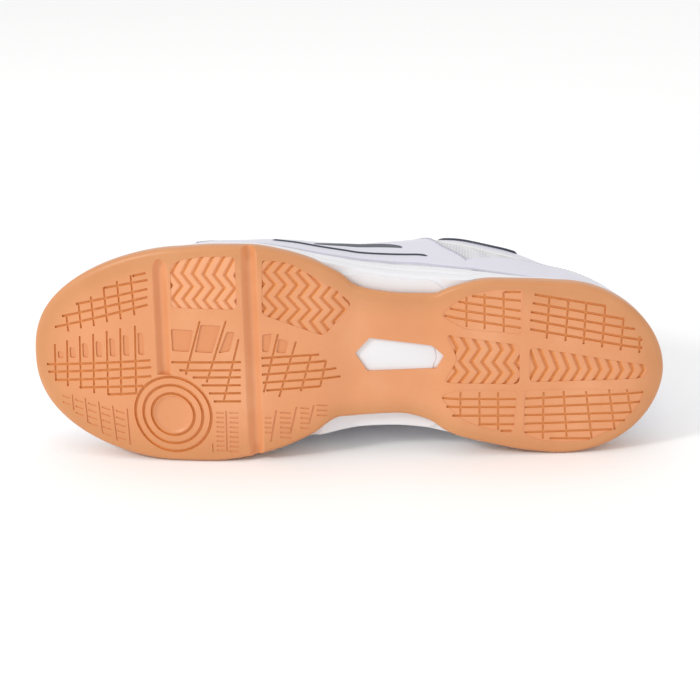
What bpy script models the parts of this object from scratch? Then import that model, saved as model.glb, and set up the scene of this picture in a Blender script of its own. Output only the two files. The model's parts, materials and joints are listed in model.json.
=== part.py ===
"""Indoor court shoe for the left foot, lying on its inner side.

The shoe is built standing on its sole, with the heel end at station 0 and the toe tip at station 1.
"Across" is positive towards the outer side of the foot and "up" is measured from the ground.
At the end the whole shoe is turned onto its inner side, where sole edge and upper touch the ground.
"""
import math

import bmesh
import bpy
from mathutils import Matrix, Vector

for item in list(bpy.data.objects):
    bpy.data.objects.remove(item)

# Driving sizes of the last and the sole, in metres
SHOE_LENGTH = 0.296
BALL_WIDTH = 0.1042
HEEL_WIDTH = 0.0818
WAIST_WIDTH = 0.0582
INSTEP_HEIGHT = 0.118
TOE_BOX_HEIGHT = 0.0500
ANKLE_HEIGHT = 0.0680
HEEL_TAB_HEIGHT = 0.0860
SOLE_HEIGHT = 0.0270
TOE_SPRING = 0.0200
HEEL_BEVEL = 0.0040
ARCH_RISE = 0.0030

# Walls and gaps
TREAD_THICKNESS = 0.0045
RIM_WALL = 0.0030
UPPER_WALL = 0.0020
COLLAR_PADDING = 0.0060
OVERLAY_THICKNESS = 0.0011
INSOLE_THICKNESS = 0.0040
TONGUE_THICKNESS = 0.0045
LACE_WIDTH = 0.0070
LACE_THICKNESS = 0.0016
GAP = 0.0003

# How finely the pieces are divided
STEPS_PER_SIDE = 40
UPPER_RINGS = 8
END_SHARE = 0.15

HEEL_ROUND = 0.162
TOE_ROUND = 0.7635
TOE_TURN = 0.0055

# Outline of the sole. Station is a share of the length, and each reach is a share of the width named in
# "follows": tread is the rubber's edge, foam the midsole's widest edge, bite the midsole's upper edge.
OUTLINE_COLUMNS = ("station", "follows", "tread_out", "tread_in", "foam_out", "foam_in", "bite_out", "bite_in")
OUTLINE_ROWS = (
    (0.162, HEEL_WIDTH, 0.509, 0.491, 0.505, 0.487, 0.440, 0.423),
    (0.203, HEEL_WIDTH, 0.513, 0.482, 0.509, 0.478, 0.456, 0.423),
    (0.264, HEEL_WIDTH, 0.512, 0.447, 0.508, 0.445, 0.480, 0.413),
    (0.304, HEEL_WIDTH, 0.494, 0.418, 0.499, 0.426, 0.496, 0.406),
    (0.334, HEEL_WIDTH, 0.457, 0.381, 0.497, 0.416, 0.502, 0.399),
    (0.358, WAIST_WIDTH, 0.605, 0.454, 0.700, 0.571, 0.713, 0.553),
    (0.405, WAIST_WIDTH, 0.601, 0.397, 0.708, 0.557, 0.720, 0.552),
    (0.453, WAIST_WIDTH, 0.620, 0.416, 0.735, 0.570, 0.741, 0.567),
    (0.480, WAIST_WIDTH, 0.656, 0.436, 0.758, 0.589, 0.756, 0.584),
    (0.500, BALL_WIDTH, 0.407, 0.255, 0.437, 0.340, 0.432, 0.334),
    (0.544, BALL_WIDTH, 0.467, 0.337, 0.467, 0.370, 0.451, 0.357),
    (0.591, BALL_WIDTH, 0.505, 0.405, 0.502, 0.408, 0.475, 0.389),
    (0.642, BALL_WIDTH, 0.525, 0.452, 0.522, 0.449, 0.492, 0.420),
    (0.699, BALL_WIDTH, 0.520, 0.482, 0.517, 0.479, 0.489, 0.449),
    (0.7635, BALL_WIDTH, 0.499, 0.491, 0.496, 0.488, 0.468, 0.457),
)

# Side of the sole, as shares of SOLE_HEIGHT above a sole with no toe spring
HEIGHT_COLUMNS = ("station", "rim", "bite")
HEIGHT_ROWS = (
    (0.00, 0.52, 1.000),
    (0.16, 0.37, 0.985),
    (0.28, 0.34, 0.972),
    (0.315, 0.17, 0.966),
    (0.36, 0.17, 0.955),
    (0.47, 0.17, 0.900),
    (0.52, 0.17, 0.860),
    (0.55, 0.33, 0.840),
    (0.64, 0.34, 0.780),
    (0.76, 0.37, 0.725),
    (0.90, 0.45, 0.670),
    (1.00, 0.52, 0.620),
)

# Sections of the last. Ridge is the height of its top line, as a share of INSTEP_HEIGHT or TOE_BOX_HEIGHT.
# Square says how boxy the section is up and across, and the bulges push its sides out, in metres.
LAST_COLUMNS = ("station", "follows", "ridge", "square_up", "square_across", "bulge_out", "bulge_in")
LAST_ROWS = (
    (0.00, INSTEP_HEIGHT, 1.020, 1.90, 2.4, 0.0000, 0.0000),
    (0.07, INSTEP_HEIGHT, 1.020, 1.95, 2.4, -0.0022, 0.0004),
    (0.14, INSTEP_HEIGHT, 1.020, 2.00, 2.4, -0.0004, 0.0010),
    (0.24, INSTEP_HEIGHT, 1.060, 2.60, 2.5, 0.0040, 0.0032),
    (0.32, INSTEP_HEIGHT, 1.060, 3.10, 2.6, 0.0034, 0.0062),
    (0.40, INSTEP_HEIGHT, 0.965, 3.10, 2.6, 0.0022, 0.0068),
    (0.50, INSTEP_HEIGHT, 0.780, 2.80, 2.6, 0.0006, 0.0046),
    (0.58, INSTEP_HEIGHT, 0.675, 2.60, 2.5, 0.0000, 0.0024),
    (0.66, INSTEP_HEIGHT, 0.590, 2.45, 2.5, -0.0012, 0.0012),
    (0.74, TOE_BOX_HEIGHT, 1.240, 2.40, 2.4, -0.0008, 0.0004),
    (0.82, TOE_BOX_HEIGHT, 1.100, 2.35, 2.4, 0.0000, 0.0000),
    (0.89, TOE_BOX_HEIGHT, 0.975, 2.30, 2.4, 0.0000, 0.0000),
    (0.93, TOE_BOX_HEIGHT, 0.868, 2.25, 2.4, 0.0000, 0.0000),
    (0.965, TOE_BOX_HEIGHT, 0.724, 2.20, 2.4, 0.0000, 0.0000),
    (0.99, TOE_BOX_HEIGHT, 0.552, 2.20, 2.4, 0.0000, 0.0000),
    (1.00, TOE_BOX_HEIGHT, 0.440, 2.20, 2.4, 0.0000, 0.0000),
)

# Top edge of the collar, as a share of ANKLE_HEIGHT, HEEL_TAB_HEIGHT or INSTEP_HEIGHT
COLLAR_COLUMNS = ("station", "follows", "height")
COLLAR_ROWS = (
    (0.00, HEEL_TAB_HEIGHT, 1.000),
    (0.04, HEEL_TAB_HEIGHT, 0.960),
    (0.10, ANKLE_HEIGHT, 1.060),
    (0.17, ANKLE_HEIGHT, 1.010),
    (0.22, ANKLE_HEIGHT, 1.035),
    (0.28, ANKLE_HEIGHT, 1.120),
    (0.34, INSTEP_HEIGHT, 0.760),
    (0.38, INSTEP_HEIGHT, 0.830),
)
COLLAR_FRONT = 0.335
THROAT_BACK = 0.385
THROAT_FRONT = 0.625
THROAT_TIP = 0.665
THROAT_HALF_BACK = 0.0165
THROAT_HALF_FRONT = 0.0130
HEEL_LEAN = 0.0060
HEEL_SWELL = 0.0022

# Where the midsole's upper edge starts at the heel and ends at the toe, from the rubber's own ends
BITE_HEEL_INSET = 0.0065
BITE_TOE_INSET = 0.0060
UPPER_LEDGE = 0.0010


def column(rows, names, name):
    """Stations and values of one column; shares are turned into metres by the size they follow."""
    place = names.index(name)
    follows = names.index("follows") if "follows" in names else None
    shares_of_size = name not in ("square_up", "square_across", "bulge_out", "bulge_in")
    values = []
    for row in rows:
        size = row[follows] if follows is not None and shares_of_size else 1.0
        values.append(row[place] * size)
    return [row[0] for row in rows], values


def smooth_curve(stations, values):
    """A smooth curve through the rows that doesn't overshoot between them."""
    count = len(stations)
    slopes = []
    for i in range(count - 1):
        slopes.append((values[i + 1] - values[i]) / (stations[i + 1] - stations[i]))
    tangents = [slopes[0]]
    for i in range(1, count - 1):
        before, after = slopes[i - 1], slopes[i]
        flat = before * after <= 0.0
        tangents.append(0.0 if flat else 2.0 * before * after / (before + after))
    tangents.append(slopes[-1])

    def value(station):
        station = min(max(station, stations[0]), stations[-1])
        i = 0
        while i < count - 2 and station > stations[i + 1]:
            i += 1
        step = stations[i + 1] - stations[i]
        t = (station - stations[i]) / step
        start = (1 + 2 * t) * (1 - t) ** 2 * values[i] + t * (1 - t) ** 2 * step * tangents[i]
        end = t * t * (3 - 2 * t) * values[i + 1] - t * t * (1 - t) * step * tangents[i + 1]
        return start + end

    return value


def table(rows, names):
    """One smooth curve for each column of a table."""
    return {name: smooth_curve(*column(rows, names, name)) for name in names if name not in ("station", "follows")}


OUTLINE = table(OUTLINE_ROWS, OUTLINE_COLUMNS)
HEIGHTS = table(HEIGHT_ROWS, HEIGHT_COLUMNS)
LAST = table(LAST_ROWS, LAST_COLUMNS)
COLLAR = table(COLLAR_ROWS, COLLAR_COLUMNS)


def ease(low, high, value):
    """0 below low, 1 above high and a smooth step between."""
    t = min(max((value - low) / (high - low), 0.0), 1.0)
    return t * t * (3.0 - 2.0 * t)


def station_at(turn):
    """Station after a share of a side's steps: even along the middle, closer towards heel and toe."""
    near = min(turn, 1.0 - turn)
    speed = 1.0 / (1.0 - END_SHARE)
    station = speed * (near - END_SHARE / 2) if near > END_SHARE else speed * near * near / END_SHARE / 2
    return station if turn < 0.5 else 1.0 - station


def station_turn(station):
    """Share of a side's steps, from heel to toe, at which a station lies."""
    near = min(station, 1.0 - station)
    speed = 1.0 / (1.0 - END_SHARE)
    turn = near / speed + END_SHARE / 2
    if turn < END_SHARE:
        turn = math.sqrt(2.0 * END_SHARE * near / speed)
    return turn if station < 0.5 else 1.0 - turn


HEEL_BEVEL_END = 0.075
SPRING_START = 0.635
ARCH_START, ARCH_TOP_START, ARCH_TOP_END, ARCH_END = 0.31, 0.37, 0.47, 0.54


def toe_lift(station):
    """How far the toe spring lifts the sole."""
    return TOE_SPRING * max((station - SPRING_START) / (1.0 - SPRING_START), 0.0) ** 2


def ground_line(station):
    """Height of the tread: bevelled heel, raised arch and toe spring."""
    heel = HEEL_BEVEL * max((HEEL_BEVEL_END - station) / HEEL_BEVEL_END, 0.0) ** 2
    arch = ARCH_RISE * ease(ARCH_START, ARCH_TOP_START, station) * (1.0 - ease(ARCH_TOP_END, ARCH_END, station))
    return heel + arch + toe_lift(station)


def rim_line(station):
    """Top edge of the rubber's side; at the waist there is only the tread's own thickness."""
    rim = HEIGHTS["rim"](station) * SOLE_HEIGHT + toe_lift(station)
    return max(rim, ground_line(station) + TREAD_THICKNESS)


def bite_line(station):
    """Height where the upper meets the midsole."""
    return HEIGHTS["bite"](station) * SOLE_HEIGHT + toe_lift(station)


def middle(station):
    """The sole's centre line turns towards the inner side at the toe."""
    return -TOE_TURN * max((station - TOE_ROUND) / (1.0 - TOE_ROUND), 0.0)


def reach(station, side, edge):
    """Distance from the centre line to an edge of the sole; side is 1 outside and -1 inside."""
    curve = OUTLINE[edge + ("_out" if side > 0 else "_in")]
    if station < HEEL_ROUND:
        turn = (HEEL_ROUND - station) / HEEL_ROUND
        return curve(HEEL_ROUND) * max(1.0 - turn ** 2, 0.0) ** 0.53
    if station > TOE_ROUND:
        turn = (station - TOE_ROUND) / (1.0 - TOE_ROUND)
        return curve(TOE_ROUND) * max(1.0 - turn ** 1.6, 0.0) ** 0.42
    return curve(station)


NARROW = 0.006
ENDS = {"tread": (0.0, 0.0), "foam": (0.0, 0.0), "bite": (BITE_HEEL_INSET, BITE_TOE_INSET)}


def edge_point(index, edge, inset):
    """Plan place (along, across) of a point on an edge loop; index runs heel, outer side, toe, inner side."""
    side = 1.0 if index <= STEPS_PER_SIDE else -1.0
    station = station_at(min(index, 2 * STEPS_PER_SIDE - index) / STEPS_PER_SIDE)
    heel, toe = ENDS[edge]
    start = heel + inset
    end = SHOE_LENGTH - toe - inset
    half = reach(station, side, edge)
    slim = half - inset * min(half / NARROW, 1.0)
    return start + (end - start) * station, middle(station) + side * slim, station


def place(along, across, up):
    """A point of the standing shoe, toe towards -X and outer side towards -Y."""
    return Vector((SHOE_LENGTH / 2 - along, -across, up))


def make_material(name, color, roughness):
    material = bpy.data.materials.new(name)
    material.use_nodes = True
    shader = material.node_tree.nodes["Principled BSDF"]
    shader.inputs["Base Color"].default_value = (*color, 1.0)
    shader.inputs["Roughness"].default_value = roughness
    shader.inputs["Metallic"].default_value = 0.0
    return material


MATERIALS = {
    "gum_rubber": make_material("gum_rubber", (0.72, 0.30, 0.11), 0.45),
    "white_foam": make_material("white_foam", (0.83, 0.84, 0.85), 0.55),
    "lining": make_material("lining", (0.60, 0.57, 0.57), 0.90),
    "white_leather": make_material("white_leather", (0.76, 0.75, 0.83), 0.42),
    "grey_mesh": make_material("grey_mesh", (0.74, 0.74, 0.80), 0.80),
    "lace_cotton": make_material("lace_cotton", (0.80, 0.80, 0.82), 0.85),
}


def new_object(name, bm, material):
    """Put a finished bmesh into the scene as a smooth shaded object."""
    bmesh.ops.recalc_face_normals(bm, faces=bm.faces[:])
    mesh = bpy.data.meshes.new(name)
    bm.to_mesh(mesh)
    bm.free()
    mesh.shade_smooth()
    mesh.set_sharp_from_angle(angle=math.radians(40))
    mesh.materials.append(MATERIALS[material])
    item = bpy.data.objects.new(name, mesh)
    bpy.context.collection.objects.link(item)
    return item


def mapped_grid(columns, rows, point):
    """A grid whose vertices are moved to point(column, row); doubles at its wraps and poles are merged."""
    bm = bmesh.new()
    bmesh.ops.create_grid(bm, x_segments=columns, y_segments=rows, size=0.5)
    for vertex in bm.verts:
        vertex.co = point(round((vertex.co.x + 0.5) * columns), round((vertex.co.y + 0.5) * rows))
    bmesh.ops.remove_doubles(bm, verts=bm.verts[:], dist=1e-6)
    return bm


SPINE_START, SPINE_END = 0.14, 0.84


def onion(name, material, rings):
    """A closed sole layer. Each ring is (edge, share towards the spine, inset, height function)."""
    around = 2 * STEPS_PER_SIDE

    def point(index, row):
        edge, spine_share, inset, height = rings[row]
        index = index % around
        along, across, station = edge_point(index, edge, inset)
        spine_along = min(max(station, SPINE_START), SPINE_END) * SHOE_LENGTH
        along += (spine_along - along) * spine_share
        across += (middle(spine_along / SHOE_LENGTH) - across) * spine_share
        return place(along, across, height(along / SHOE_LENGTH))

    return new_object(name, mapped_grid(around, len(rings) - 1, point), material)


# Outsole: a rubber cup with a thin tread floor and a rim that rises as a bumper at the toe

def on_ground(here):
    return ground_line(here)


def on_tread(here):
    return ground_line(here) + TREAD_THICKNESS


def above_ground(share):
    def height(here):
        low = ground_line(here)
        return low + (rim_line(here) - low) * share
    return height


EDGE_ROUND = 0.0016
RIM_LEAN = 0.0006

outsole = onion("outsole", "gum_rubber", (
    ("tread", 1.0, 0.0, on_ground),
    ("tread", 0.6, 0.0, on_ground),
    ("tread", 0.25, 0.0, on_ground),
    ("tread", 0.0, EDGE_ROUND, on_ground),
    ("tread", 0.0, 0.2 * EDGE_ROUND, above_ground(0.10)),
    ("tread", 0.0, 0.0, above_ground(0.35)),
    ("tread", 0.0, RIM_LEAN, above_ground(0.92)),
    ("tread", 0.0, 2.0 * RIM_LEAN, above_ground(1.0)),
    ("tread", 0.0, RIM_WALL, above_ground(1.0)),
    ("tread", 0.0, RIM_WALL + RIM_LEAN, on_tread),
    ("tread", 0.3, RIM_WALL + RIM_LEAN, on_tread),
    ("tread", 0.65, RIM_WALL + RIM_LEAN, on_tread),
    ("tread", 1.0, RIM_WALL + RIM_LEAN, on_tread),
))

# Tread cutters: window at the waist, flex channels, turning disc and zigzag pads, all following the tread

WINDOW_CORNERS = (
    (0.475, 0.115), (0.453, 0.260), (0.356, 0.200), (0.341, 0.100), (0.353, 0.008), (0.456, -0.050),
)
FLEX_FRONT_STATION, FLEX_FRONT_WIDTH = 0.783, 0.0060
FLEX_BACK_STATION, FLEX_BACK_WIDTH = 0.644, 0.0080
FLEX_DEPTH = 0.0014
DISC_ALONG, DISC_ACROSS = 0.7686 * SHOE_LENGTH, -0.2658 * BALL_WIDTH
DISC_RADII = (0.1766 * BALL_WIDTH, 0.1382 * BALL_WIDTH, 0.0988 * BALL_WIDTH)
DISC_GROOVE = 0.0011
TREAD_DEPTH = 0.0014
CUTTER_BELOW = 0.0030


def tread_prism(bm, corners, depth):
    """Add a closed prism under the tread. Corners are rows of plan points (along, across), in pairs."""
    rows = []
    for left, right in corners:
        row = []
        for along, across in (left, right):
            level = ground_line(along / SHOE_LENGTH)
            row.append((bm.verts.new(place(along, across, level - CUTTER_BELOW)),
                        bm.verts.new(place(along, across, level + depth))))
        rows.append(row)
    for first, second in zip(rows, rows[1:]):
        (a_low, a_top), (b_low, b_top) = first
        (c_low, c_top), (d_low, d_top) = second
        bm.faces.new((a_low, b_low, d_low, c_low))
        bm.faces.new((a_top, c_top, d_top, b_top))
        bm.faces.new((a_low, c_low, c_top, a_top))
        bm.faces.new((b_low, b_top, d_top, d_low))
    for row in (rows[0], rows[-1]):
        (a_low, a_top), (b_low, b_top) = row
        bm.faces.new((a_low, a_top, b_top, b_low))


def strip_along_line(points, width):
    """Pairs of plan points at both sides of a line of plan points, mitred at its bends."""
    pairs = []
    for i, here in enumerate(points):
        before = Vector(points[max(i - 1, 0)])
        after = Vector(points[min(i + 1, len(points) - 1)])
        here = Vector(here)
        first = (here - before).normalized() if i > 0 else (after - here).normalized()
        second = (after - here).normalized() if i < len(points) - 1 else first
        between = (first + second).normalized()
        normal = Vector((-between.y, between.x))
        stretch = 1.0 / max(normal.dot(Vector((-first.y, first.x))), 0.4)
        offset = normal * width * 0.5 * stretch
        pairs.append((tuple(here + offset), tuple(here - offset)))
    return pairs


def even_line(start, end, cells):
    return [tuple(Vector(start).lerp(Vector(end), i / cells)) for i in range(cells + 1)]


cutter_mesh = bmesh.new()

flex_out = reach(FLEX_FRONT_STATION, 1.0, "tread")
front_along = FLEX_FRONT_STATION * SHOE_LENGTH
disc_edge = DISC_ACROSS + DISC_RADII[0] + DISC_GROOVE
tread_prism(cutter_mesh, strip_along_line(
    even_line((front_along, flex_out - 0.0060), (front_along, disc_edge), 4), FLEX_FRONT_WIDTH), FLEX_DEPTH)
back_along = FLEX_BACK_STATION * SHOE_LENGTH
back_out = reach(FLEX_BACK_STATION, 1.0, "tread") + 0.002
back_in = -reach(FLEX_BACK_STATION, -1.0, "tread") - 0.002
tread_prism(cutter_mesh, strip_along_line(
    even_line((back_along, back_out), (back_along, back_in), 4), FLEX_BACK_WIDTH), FLEX_DEPTH)

DISC_SIDES = 28
for radius in DISC_RADII:
    ring = []
    for i in range(DISC_SIDES + 1):
        angle = 2.0 * math.pi * (i % DISC_SIDES) / DISC_SIDES
        direction = (math.cos(angle), math.sin(angle))
        inner, outer = radius - DISC_GROOVE / 2, radius + DISC_GROOVE / 2
        ring.append(((DISC_ALONG + direction[0] * outer, DISC_ACROSS + direction[1] * outer),
                     (DISC_ALONG + direction[0] * inner, DISC_ACROSS + direction[1] * inner)))
    tread_prism(cutter_mesh, ring, TREAD_DEPTH)
    cutter_mesh.faces.ensure_lookup_table()
    ends = cutter_mesh.faces[len(cutter_mesh.faces) - 2:]
    bmesh.ops.delete(cutter_mesh, geom=ends, context="FACES_ONLY")
bmesh.ops.remove_doubles(cutter_mesh, verts=cutter_mesh.verts[:], dist=1e-6)

# Zigzag pads: start and end along, how many channels, their ends across, bends and pitch
PAD_COLUMNS = ("start", "end", "first_across", "last_across", "channels", "bends")
PAD_ROWS = (
    (0.6650, 0.7680, 0.0455, 0.0265, 5, 3),
    (0.5150, 0.6180, 0.0440, 0.0225, 5, 4),
    (0.2290, 0.3300, 0.0110, -0.0050, 5, 3),
    (0.0480, 0.2060, 0.0070, -0.0035, 8, 2),
)
ZIGZAG = 0.0046
CHANNEL_WIDTH = 0.0022

for start, end, first_across, last_across, channels, bends in PAD_ROWS:
    for channel in range(channels):
        along = (start + (end - start) * (channel + 0.5) / channels) * SHOE_LENGTH
        line = []
        for bend in range(bends + 1):
            across = first_across + (last_across - first_across) * bend / bends
            line.append((along + (ZIGZAG / 2 if bend % 2 else -ZIGZAG / 2), across))
        tread_prism(cutter_mesh, strip_along_line(line, CHANNEL_WIDTH), TREAD_DEPTH)

window = [(a * SHOE_LENGTH, b * WAIST_WIDTH) for a, b in WINDOW_CORNERS]
window_low = [cutter_mesh.verts.new(place(a, b, -CUTTER_BELOW)) for a, b in window]
window_top = [cutter_mesh.verts.new(place(a, b, ARCH_RISE + 2 * TREAD_THICKNESS)) for a, b in window]
cutter_mesh.faces.new(window_low)
cutter_mesh.faces.new(window_top[::-1])
for i in range(len(window)):
    after = (i + 1) % len(window)
    cutter_mesh.faces.new((window_low[i], window_top[i], window_top[after], window_low[after]))

tread_cutter = new_object("tread_cutter", cutter_mesh, "gum_rubber")
tread_cutter.hide_render = True
tread_cutter.display_type = "WIRE"
carve = outsole.modifiers.new("tread", "BOOLEAN")
carve.operation = "DIFFERENCE"
carve.object = tread_cutter

# Midsole: foam that fills the rubber cup, stands out over the waist and leans in up to the bite line

RIB_DEPTH = 0.0007
FOAM_LIP = 0.0012
FOAM_GAP = 0.0005


def foam_low(here):
    return ground_line(here) + TREAD_THICKNESS + FOAM_GAP


def cup_share(station):
    """1 where the rubber has a rim around the foam, 0 at the waist."""
    return 1.0 - ease(0.328, 0.352, station) * (1.0 - ease(0.478, 0.503, station))


def foam_side(share):
    """Height on the foam's visible side, from just over the rim to the bite line."""
    def height(here):
        low = max(rim_line(here) + FOAM_GAP, foam_low(here) + FOAM_LIP)
        return low + (bite_line(here) - low) * share
    return height


def foam_point(index, row):
    rings = (
        ("cup", 1.0, foam_low), ("cup", 0.65, foam_low), ("cup", 0.3, foam_low), ("cup", 0.0, foam_low),
        ("cup", 0.0, foam_side(0.0)), (0.0, 0.0, foam_side(0.03)), (0.45, 0.0, foam_side(0.42)),
        (0.62, RIB_DEPTH, foam_side(0.50)), (0.60, 0.0, foam_side(0.58)), (0.97, 0.0, foam_side(0.93)),
        (1.0, 0.0008, foam_side(1.0)), ("top", 0.5, foam_side(1.0)),
        ("top", 1.0, foam_side(1.0)),
    )
    kind, extra, height = rings[row]
    index = index % (2 * STEPS_PER_SIDE)
    wide_along, wide_across, station = edge_point(index, "foam", GAP)
    top_along, top_across, station = edge_point(index, "bite", 0.0)
    spine_along = min(max(station, SPINE_START), SPINE_END) * SHOE_LENGTH
    spine_across = middle(spine_along / SHOE_LENGTH)
    if kind == "cup":
        in_along, in_across, station = edge_point(index, "tread", RIM_WALL + RIM_LEAN + FOAM_GAP)
        out_along, out_across, station = edge_point(index, "foam", 0.0015)
        share = cup_share(station)
        along = out_along + (in_along - out_along) * share
        across = out_across + (in_across - out_across) * share
        along += (spine_along - along) * extra
        across += (spine_across - across) * extra
    elif kind == "top":
        along = top_along + (spine_along - top_along) * extra
        across = top_across + (spine_across - top_across) * extra
    else:
        lean_along, lean_across, station = edge_point(index, "foam", GAP + extra)
        slim_along, slim_across, station = edge_point(index, "bite", extra)
        along = lean_along + (slim_along - lean_along) * kind
        across = lean_across + (slim_across - lean_across) * kind
    return place(along, across, height(along / SHOE_LENGTH))


FOAM_RINGS = 12
midsole = new_object("midsole", mapped_grid(2 * STEPS_PER_SIDE, FOAM_RINGS, foam_point), "white_foam")

# The last's own surface, which upper, tongue, overlays and lace are all made from


def last_width(station, side):
    """Half width of the upper at the bite line, a small ledge inside the midsole's edge."""
    half = reach(station, side, "bite")
    return half - UPPER_LEDGE * min(half / NARROW, 1.0)


def last_along(station):
    """Place along the shoe of one of the last's stations."""
    start = BITE_HEEL_INSET + UPPER_LEDGE
    end = SHOE_LENGTH - BITE_TOE_INSET - UPPER_LEDGE
    return start + (end - start) * station


def last_point(station, angle, side):
    """A point of the last's section at a station; angle is 0 at the bite line and a right angle on top."""
    across_power = 2.0 / LAST["square_across"](station)
    up_power = 2.0 / LAST["square_up"](station)
    along = last_along(station)
    low = bite_line(along / SHOE_LENGTH) + GAP
    rise = LAST["ridge"](station) + toe_lift(along / SHOE_LENGTH) - low
    share = math.sin(angle) ** up_power
    bulge = LAST["bulge_out" if side > 0 else "bulge_in"](station) * math.sin(math.pi * share)
    half = last_width(station, side) * max(math.cos(angle), 0.0) ** across_power + bulge
    up = low + rise * share
    height = min(max((up - low) / (HEEL_TAB_HEIGHT - SOLE_HEIGHT), 0.0), 1.3)
    near_heel = max(1.0 - station / 0.30, 0.0) ** 1.5
    lean = (HEEL_LEAN * height ** 2 - HEEL_SWELL * math.sin(math.pi * min(height, 1.0))) * near_heel
    return along + lean, middle(station) + side * half, up


def angle_at_height(station, height):
    """Angle on the section where it reaches a height above the ground."""
    here = last_along(station) / SHOE_LENGTH
    low = bite_line(here) + GAP
    rise = LAST["ridge"](station) + toe_lift(here) - low
    share = min(max((height - low) / rise, 0.0), 0.999)
    return math.asin(share ** (LAST["square_up"](station) / 2.0))


def angle_at_width(station, side, width):
    """Angle on the section where it is a given distance from the centre line."""
    full = last_width(station, side)
    if full < 1e-5:
        return 0.0
    share = min(max(width / full, 0.0), 1.0)
    return math.acos(share ** (LAST["square_across"](station) / 2.0))


def opening_angle(station, side):
    """Angle of the upper's top edge: collar at the back, throat edge in front."""
    collar = angle_at_height(station, COLLAR["height"](station))
    along_throat = min(max((station - THROAT_BACK) / (THROAT_FRONT - THROAT_BACK), 0.0), 1.0)
    half = THROAT_HALF_BACK + (THROAT_HALF_FRONT - THROAT_HALF_BACK) * along_throat
    throat = angle_at_width(station, side, half)
    return collar + (throat - collar) * ease(COLLAR_FRONT, THROAT_BACK, station)


def upper_index(station, side):
    """Index around the shoe of a station on one side."""
    turn = station_turn(station) * STEPS_PER_SIDE
    return turn if side > 0 else 2 * STEPS_PER_SIDE - turn


def upper_place(index, share):
    """The upper's outer face: index runs around the shoe, share runs from the bite line to the opening."""
    index = index % (2 * STEPS_PER_SIDE)
    side = 1.0 if index <= STEPS_PER_SIDE else -1.0
    turn = min(index, 2 * STEPS_PER_SIDE - index) / STEPS_PER_SIDE
    station = station_at(turn)
    if station <= THROAT_FRONT:
        return last_point(station, opening_angle(station, side) * share, side)
    corner = opening_angle(THROAT_FRONT, side)
    power = 2.0 / LAST["square_across"](THROAT_FRONT)
    inward = (1.0 - math.cos(corner * share) ** power) / (1.0 - math.cos(corner) ** power)
    first_turn = station_turn(THROAT_FRONT)
    tip_turn = (turn - first_turn) / (1.0 - first_turn) * math.pi / 2.0
    goal_station = THROAT_FRONT + (THROAT_TIP - THROAT_FRONT) * math.sin(tip_turn)
    goal_across = side * THROAT_HALF_FRONT * math.cos(tip_turn)
    here = station + (goal_station - station) * inward
    low_across = middle(station) + side * last_width(station, side)
    across = low_across + (goal_across - low_across) * inward - middle(here)
    here_side = 1.0 if across > 0 else -1.0
    return last_point(here, angle_at_width(here, here_side, abs(across)), here_side)


def upper_point(index, share, lift=0.0):
    """A point at a distance outside the upper's outer face."""
    here = place(*upper_place(index, share))
    if lift == 0.0:
        return here
    low, high = max(share - 0.02, 0.0), min(share + 0.02, 1.0)
    along = place(*upper_place(index + 0.3, share)) - place(*upper_place(index - 0.3, share))
    rising = place(*upper_place(index, high)) - place(*upper_place(index, low))
    return here + rising.cross(along).normalized() * lift


def ring_share(row, rows):
    """Rings lie closer together near the bite line, where the wall turns."""
    return (row / rows) ** 1.1


def sheet(name, material, columns, rows, point, thickness, offset):
    """An open sheet on the upper's form, given its thickness by a Solidify modifier."""
    bm = mapped_grid(columns, rows, point)
    bmesh.ops.reverse_faces(bm, faces=bm.faces[:])
    mesh = bpy.data.meshes.new(name)
    bm.to_mesh(mesh)
    bm.free()
    mesh.shade_smooth()
    mesh.materials.append(MATERIALS[material])
    item = bpy.data.objects.new(name, mesh)
    bpy.context.collection.objects.link(item)
    wall = item.modifiers.new("wall", "SOLIDIFY")
    wall.thickness = thickness
    wall.offset = offset
    wall.use_even_offset = False
    return item


# Upper: one hollow shell, its wall growing into a padded collar around the ankle

PADDING_END, PADDING_FADE = 0.22, 0.31


def padding_weight(index, row):
    station = station_at(min(index, 2 * STEPS_PER_SIDE - index) / STEPS_PER_SIDE)
    near_top = ease(0.45, 0.8, ring_share(row, UPPER_RINGS))
    return near_top * (1.0 - ease(PADDING_END, PADDING_FADE, station))


def shell_point(index, row):
    return upper_point(index, ring_share(row, UPPER_RINGS))


upper = sheet("upper", "grey_mesh", 2 * STEPS_PER_SIDE, UPPER_RINGS, shell_point, COLLAR_PADDING, -1.0)
padding = upper.vertex_groups.new(name="padding")
padded = {}
for index in range(2 * STEPS_PER_SIDE):
    for row in range(UPPER_RINGS + 1):
        padded[tuple(round(c, 5) for c in shell_point(index, row))] = padding_weight(index, row)
for vertex in upper.data.vertices:
    padding.add([vertex.index], padded.get(tuple(round(c, 5) for c in vertex.co), 0.0), "REPLACE")
upper.modifiers["wall"].vertex_group = "padding"
upper.modifiers["wall"].thickness_vertex_group = UPPER_WALL / COLLAR_PADDING

# Insole: a thin sheet on the midsole, inside the upper's wall

INSOLE_INSET = UPPER_LEDGE + UPPER_WALL + 0.0008


def insole_height(share):
    def height(here):
        return bite_line(here) + GAP + INSOLE_THICKNESS * share
    return height


insole = onion("insole", "lining", (
    ("bite", 1.0, 0.0, insole_height(0.0)),
    ("bite", 0.5, 0.0, insole_height(0.0)),
    ("bite", 0.0, INSOLE_INSET, insole_height(0.0)),
    ("bite", 0.0, INSOLE_INSET, insole_height(1.0)),
    ("bite", 0.5, 0.0, insole_height(1.0)),
    ("bite", 1.0, 0.0, insole_height(1.0)),
))

# Tongue: a padded strip under the throat, from under the vamp to above the instep

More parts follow.
